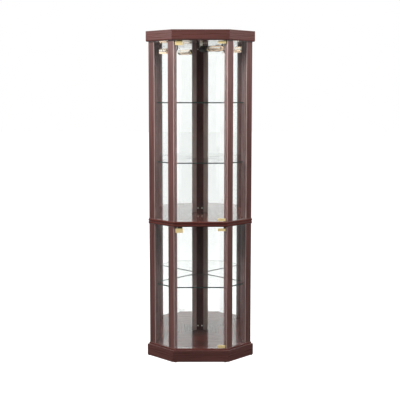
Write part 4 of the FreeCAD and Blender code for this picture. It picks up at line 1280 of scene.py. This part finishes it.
    def thread(self) -> None:
        """Roll the thread's rounded ridges on the part of the screw shell that shows."""
        start = self.socket_length - self.thread_lap
        length = self.shell_show + self.thread_lap
        steps = self.thread_steps * self.thread_turns
        profile = [(start, self.shell_radius - self.thread_start_drop)]
        for step in range(steps + 1):
            wave = math.sin(2 * math.pi * self.thread_turns * step / steps)
            radius = self.shell_radius - self.thread_root + self.thread_height * wave
            profile.append((start + length * step / steps, radius))
        profile.append((start + length, self.shell_radius - self.thread_end_drop))
        finish_piece("bulb_thread", self.placed(spun(profile)), LAMP_BRASS, CABINET)


# ------------------------------------------------------------------ stage


@dataclass(frozen=True)
class Softbox:
    """A square softbox."""

    name: str
    place: Triple
    side: float
    watts: float
    mirrored: bool = True

    def hang(self, aim: Vector) -> None:
        """Hang the softbox; a box that isn't mirrored is left out of what glossy surfaces show.

        Args:
            aim: The point it faces.
        """
        data = bpy.data.lights.new(self.name, "AREA")
        data.shape = "SQUARE"
        data.size = self.side
        data.energy = self.watts
        light = bpy.data.objects.new(self.name, data)
        light.location = self.place
        light.visible_glossy = self.mirrored
        light.rotation_euler = (aim - Vector(self.place)).to_track_quat("-Z", "Y").to_euler()
        bpy.context.scene.collection.objects.link(light)


@dataclass
class Studio:
    """The pale floor, the soft light and the camera.

    The camera, and the mirrors for it, see a white room. What lights the cabinet and shows in its gloss
    is a dimmer room with bright panels in its corners.
    """

    camera_x: float = -37.4 * MM
    camera_distance: float = 4705.0 * MM
    camera_height: float = 1477.0 * MM
    camera_pitch: float = 0.1067
    camera_yaw: float = 0.0059
    focal_pixels: float = 868.9
    image_pixels: float = 400.0
    sensor: float = 36.0
    shift_x: float = 0.003
    shift_y: float = -0.0285
    left_panel: float = 0.55
    right_panel: float = 0.42
    room: float = 0.045
    back_wall: float = 0.5
    ceiling: float = 0.25
    panel_edges: tuple[float, float] = (0.175, 0.425)
    sideways_edges: tuple[float, float] = (-0.7, 0.7)
    ceiling_edges: tuple[float, float] = (0.25, 0.6)
    back_wall_edges: tuple[float, float] = (0.75, 0.95)
    floor_half: float = 30.0
    floor_drop: float = 0.2 * MM
    floor_dark: Colour = (0.24, 0.24, 0.24)
    floor_light: Colour = (0.25, 0.25, 0.25)
    floor_unseen: Colour = (0.05, 0.05, 0.05)
    floor_glow: float = 1.05
    floor_near: float = 0.02
    floor_far: float = 0.06
    floor_edges: tuple[float, float] = (1.0, 9.0)
    aim: Triple = (0.0, 0.0, 1.4)
    softboxes: tuple[Softbox, ...] = (
        Softbox("left_light", (-2.4, -1.4, 2.8), 1.0, 152.0),
        Softbox("right_light", (2.4, -1.4, 2.8), 1.0, 108.0),
        Softbox("back_light", (0.0, 3.2, 2.6), 2.0, 110.0, mirrored=False),
    )

    def camera(self) -> None:
        """Stand the camera in front of the cabinet, looking slightly down."""
        data = bpy.data.cameras.new("camera")
        data.lens = self.focal_pixels * self.sensor / self.image_pixels
        data.sensor_width = self.sensor
        data.shift_x = self.shift_x
        data.shift_y = self.shift_y
        camera = bpy.data.objects.new("camera", data)
        front = CAD_BOX[0].y
        camera.location = (self.camera_x, front - self.camera_distance, self.camera_height)
        camera.rotation_euler = (math.pi / 2 - self.camera_pitch, 0.0, -self.camera_yaw)
        bpy.context.scene.collection.objects.link(camera)
        bpy.context.scene.camera = camera

    def corner_panels(self, wiring: Wiring, point: Socket) -> tuple[Socket, ...]:
        """Mark the four corners of the room.

        Args:
            wiring: The tree that asks.
            point: A point or direction seen from the middle of the stage.

        Returns:
            The mark, from zero between the corners to one in them, and the point's X, Y and Z.
        """
        sideways, back, rise = wiring.axes(point)
        across = wiring.maths("ABSOLUTE", wiring.maths("MULTIPLY", sideways, back))
        squares = [wiring.maths("MULTIPLY", axis, axis) for axis in (sideways, back)]
        slant = wiring.maths("DIVIDE", across, wiring.maths("ADD", *squares))
        return wiring.spread(slant, *self.panel_edges), sideways, back, rise

    def open_path(self, wiring: Wiring, corners: Socket) -> Socket:
        """Tell rays that look straight out or by way of the mirrors from those that light a surface.

        Args:
            wiring: The tree that asks.
            corners: The mark of the room's corners.

        Returns:
            One for rays from the camera, rays that only passed glass, rays that were mirrored twice, and
            rays that a mirror sent into a corner of the room, and zero for the rest.
        """
        depth = wiring.path("Glossy Depth")
        is_glossy = wiring.path("Is Glossy Ray")
        unmirrored = wiring.maths("LESS_THAN", depth, 0.5)
        mirrored_twice = wiring.maths("GREATER_THAN", depth, 1.5)
        open_depth = wiring.maths("MAXIMUM", unmirrored, mirrored_twice)
        through = wiring.maths("MULTIPLY", wiring.path("Is Transmission Ray"), open_depth)
        seen = wiring.maths("MAXIMUM", wiring.path("Is Camera Ray"), through)
        once = wiring.maths("MULTIPLY", wiring.path("Is Singular Ray"), is_glossy)
        seen = wiring.maths("MAXIMUM", seen, wiring.maths("MULTIPLY", once, corners))
        return wiring.maths("MAXIMUM", seen, wiring.maths("MULTIPLY", mirrored_twice, is_glossy))

    def floor(self) -> None:
        """Lay a plain pale floor, which glows white where the camera or the mirrors look at it."""
        sheet = bmesh.new()
        bmesh.ops.create_grid(sheet, x_segments=1, y_segments=1, size=self.floor_half)
        data = bpy.data.meshes.new("studio_floor")
        sheet.to_mesh(data)
        sheet.free()
        material, wiring, principled = start_material("studio_floor_paint")
        point = wiring.coordinate()
        mottle = wiring.spread(wiring.noise(point, 6.0, detail=2.0), 0.3, 0.7)
        tone = wiring.blend(mottle, self.floor_dark, self.floor_light)
        reach = wiring.node("ShaderNodeVectorMath", {0: point}, operation="LENGTH").outputs["Value"]
        sheen = wiring.spread(reach, *self.floor_edges, self.floor_near, self.floor_far)
        seen = self.open_path(wiring, self.corner_panels(wiring, point)[0])
        surface = {
            "Base Color": wiring.blend(seen, self.floor_unseen, tone),
            "Emission Color": wiring.blend(seen, sheen, WHITE),
            "Emission Strength": self.floor_glow,
            "Roughness": 0.9,
            "Specular IOR Level": 0.0,
        }
        wiring.fill(principled, surface)
        data.materials.append(material)
        floor = bpy.data.objects.new("studio_floor", data)
        floor.location.z = -self.floor_drop
        bpy.context.scene.collection.objects.link(floor)

    def sky(self) -> None:
        """Surround the stage with white, and with a dim room whose corner panels are brighter on the left."""
        world = bpy.data.worlds.new("studio_white")
        world.use_nodes = True
        bpy.context.scene.world = world
        wiring = Wiring(world.node_tree)
        direction = wiring.coordinate("Generated")
        corners, sideways, back, rise = self.corner_panels(wiring, direction)
        side_level = wiring.spread(sideways, *self.sideways_edges, self.left_panel, self.right_panel)
        panels = wiring.maths("MULTIPLY", corners, side_level)
        above = wiring.spread(rise, *self.ceiling_edges, 0.0, self.ceiling)
        behind = wiring.spread(back, *self.back_wall_edges, 0.0, self.back_wall)
        lit = wiring.maths("MAXIMUM", wiring.maths("MAXIMUM", panels, above), behind)
        light = wiring.maths("ADD", lit, self.room)
        seen = self.open_path(wiring, corners)
        hidden = wiring.maths("MULTIPLY", light, wiring.maths("SUBTRACT", 1.0, seen))
        white = wiring.spread(wiring.path("Glossy Depth"), 1.0, 2.0, 1.0, MIRRORED_WHITE)
        strength = wiring.maths("ADD", wiring.maths("MULTIPLY", seen, white), hidden)
        wiring.fill(world.node_tree.nodes["Background"], {"Color": WHITE, "Strength": strength})

    def build(self) -> None:
        """Set the whole stage."""
        self.camera()
        self.floor()
        self.sky()
        for softbox in self.softboxes:
            softbox.hang(Vector(self.aim))
        bpy.context.scene.view_settings.view_transform = "Standard"


def main() -> None:
    """Dress and build every sub-assembly in order, then set the stage."""
    logging.basicConfig()
    LOG.setLevel(logging.INFO)
    for assembly in (Carcass(), EdgeHighlightBeads(), Glazing(), DoorHardware(), CamCovers(), CabinetLamp()):
        assembly.dress()
        assembly.build()
    Studio().build()


if __name__ == "__main__":
    main()
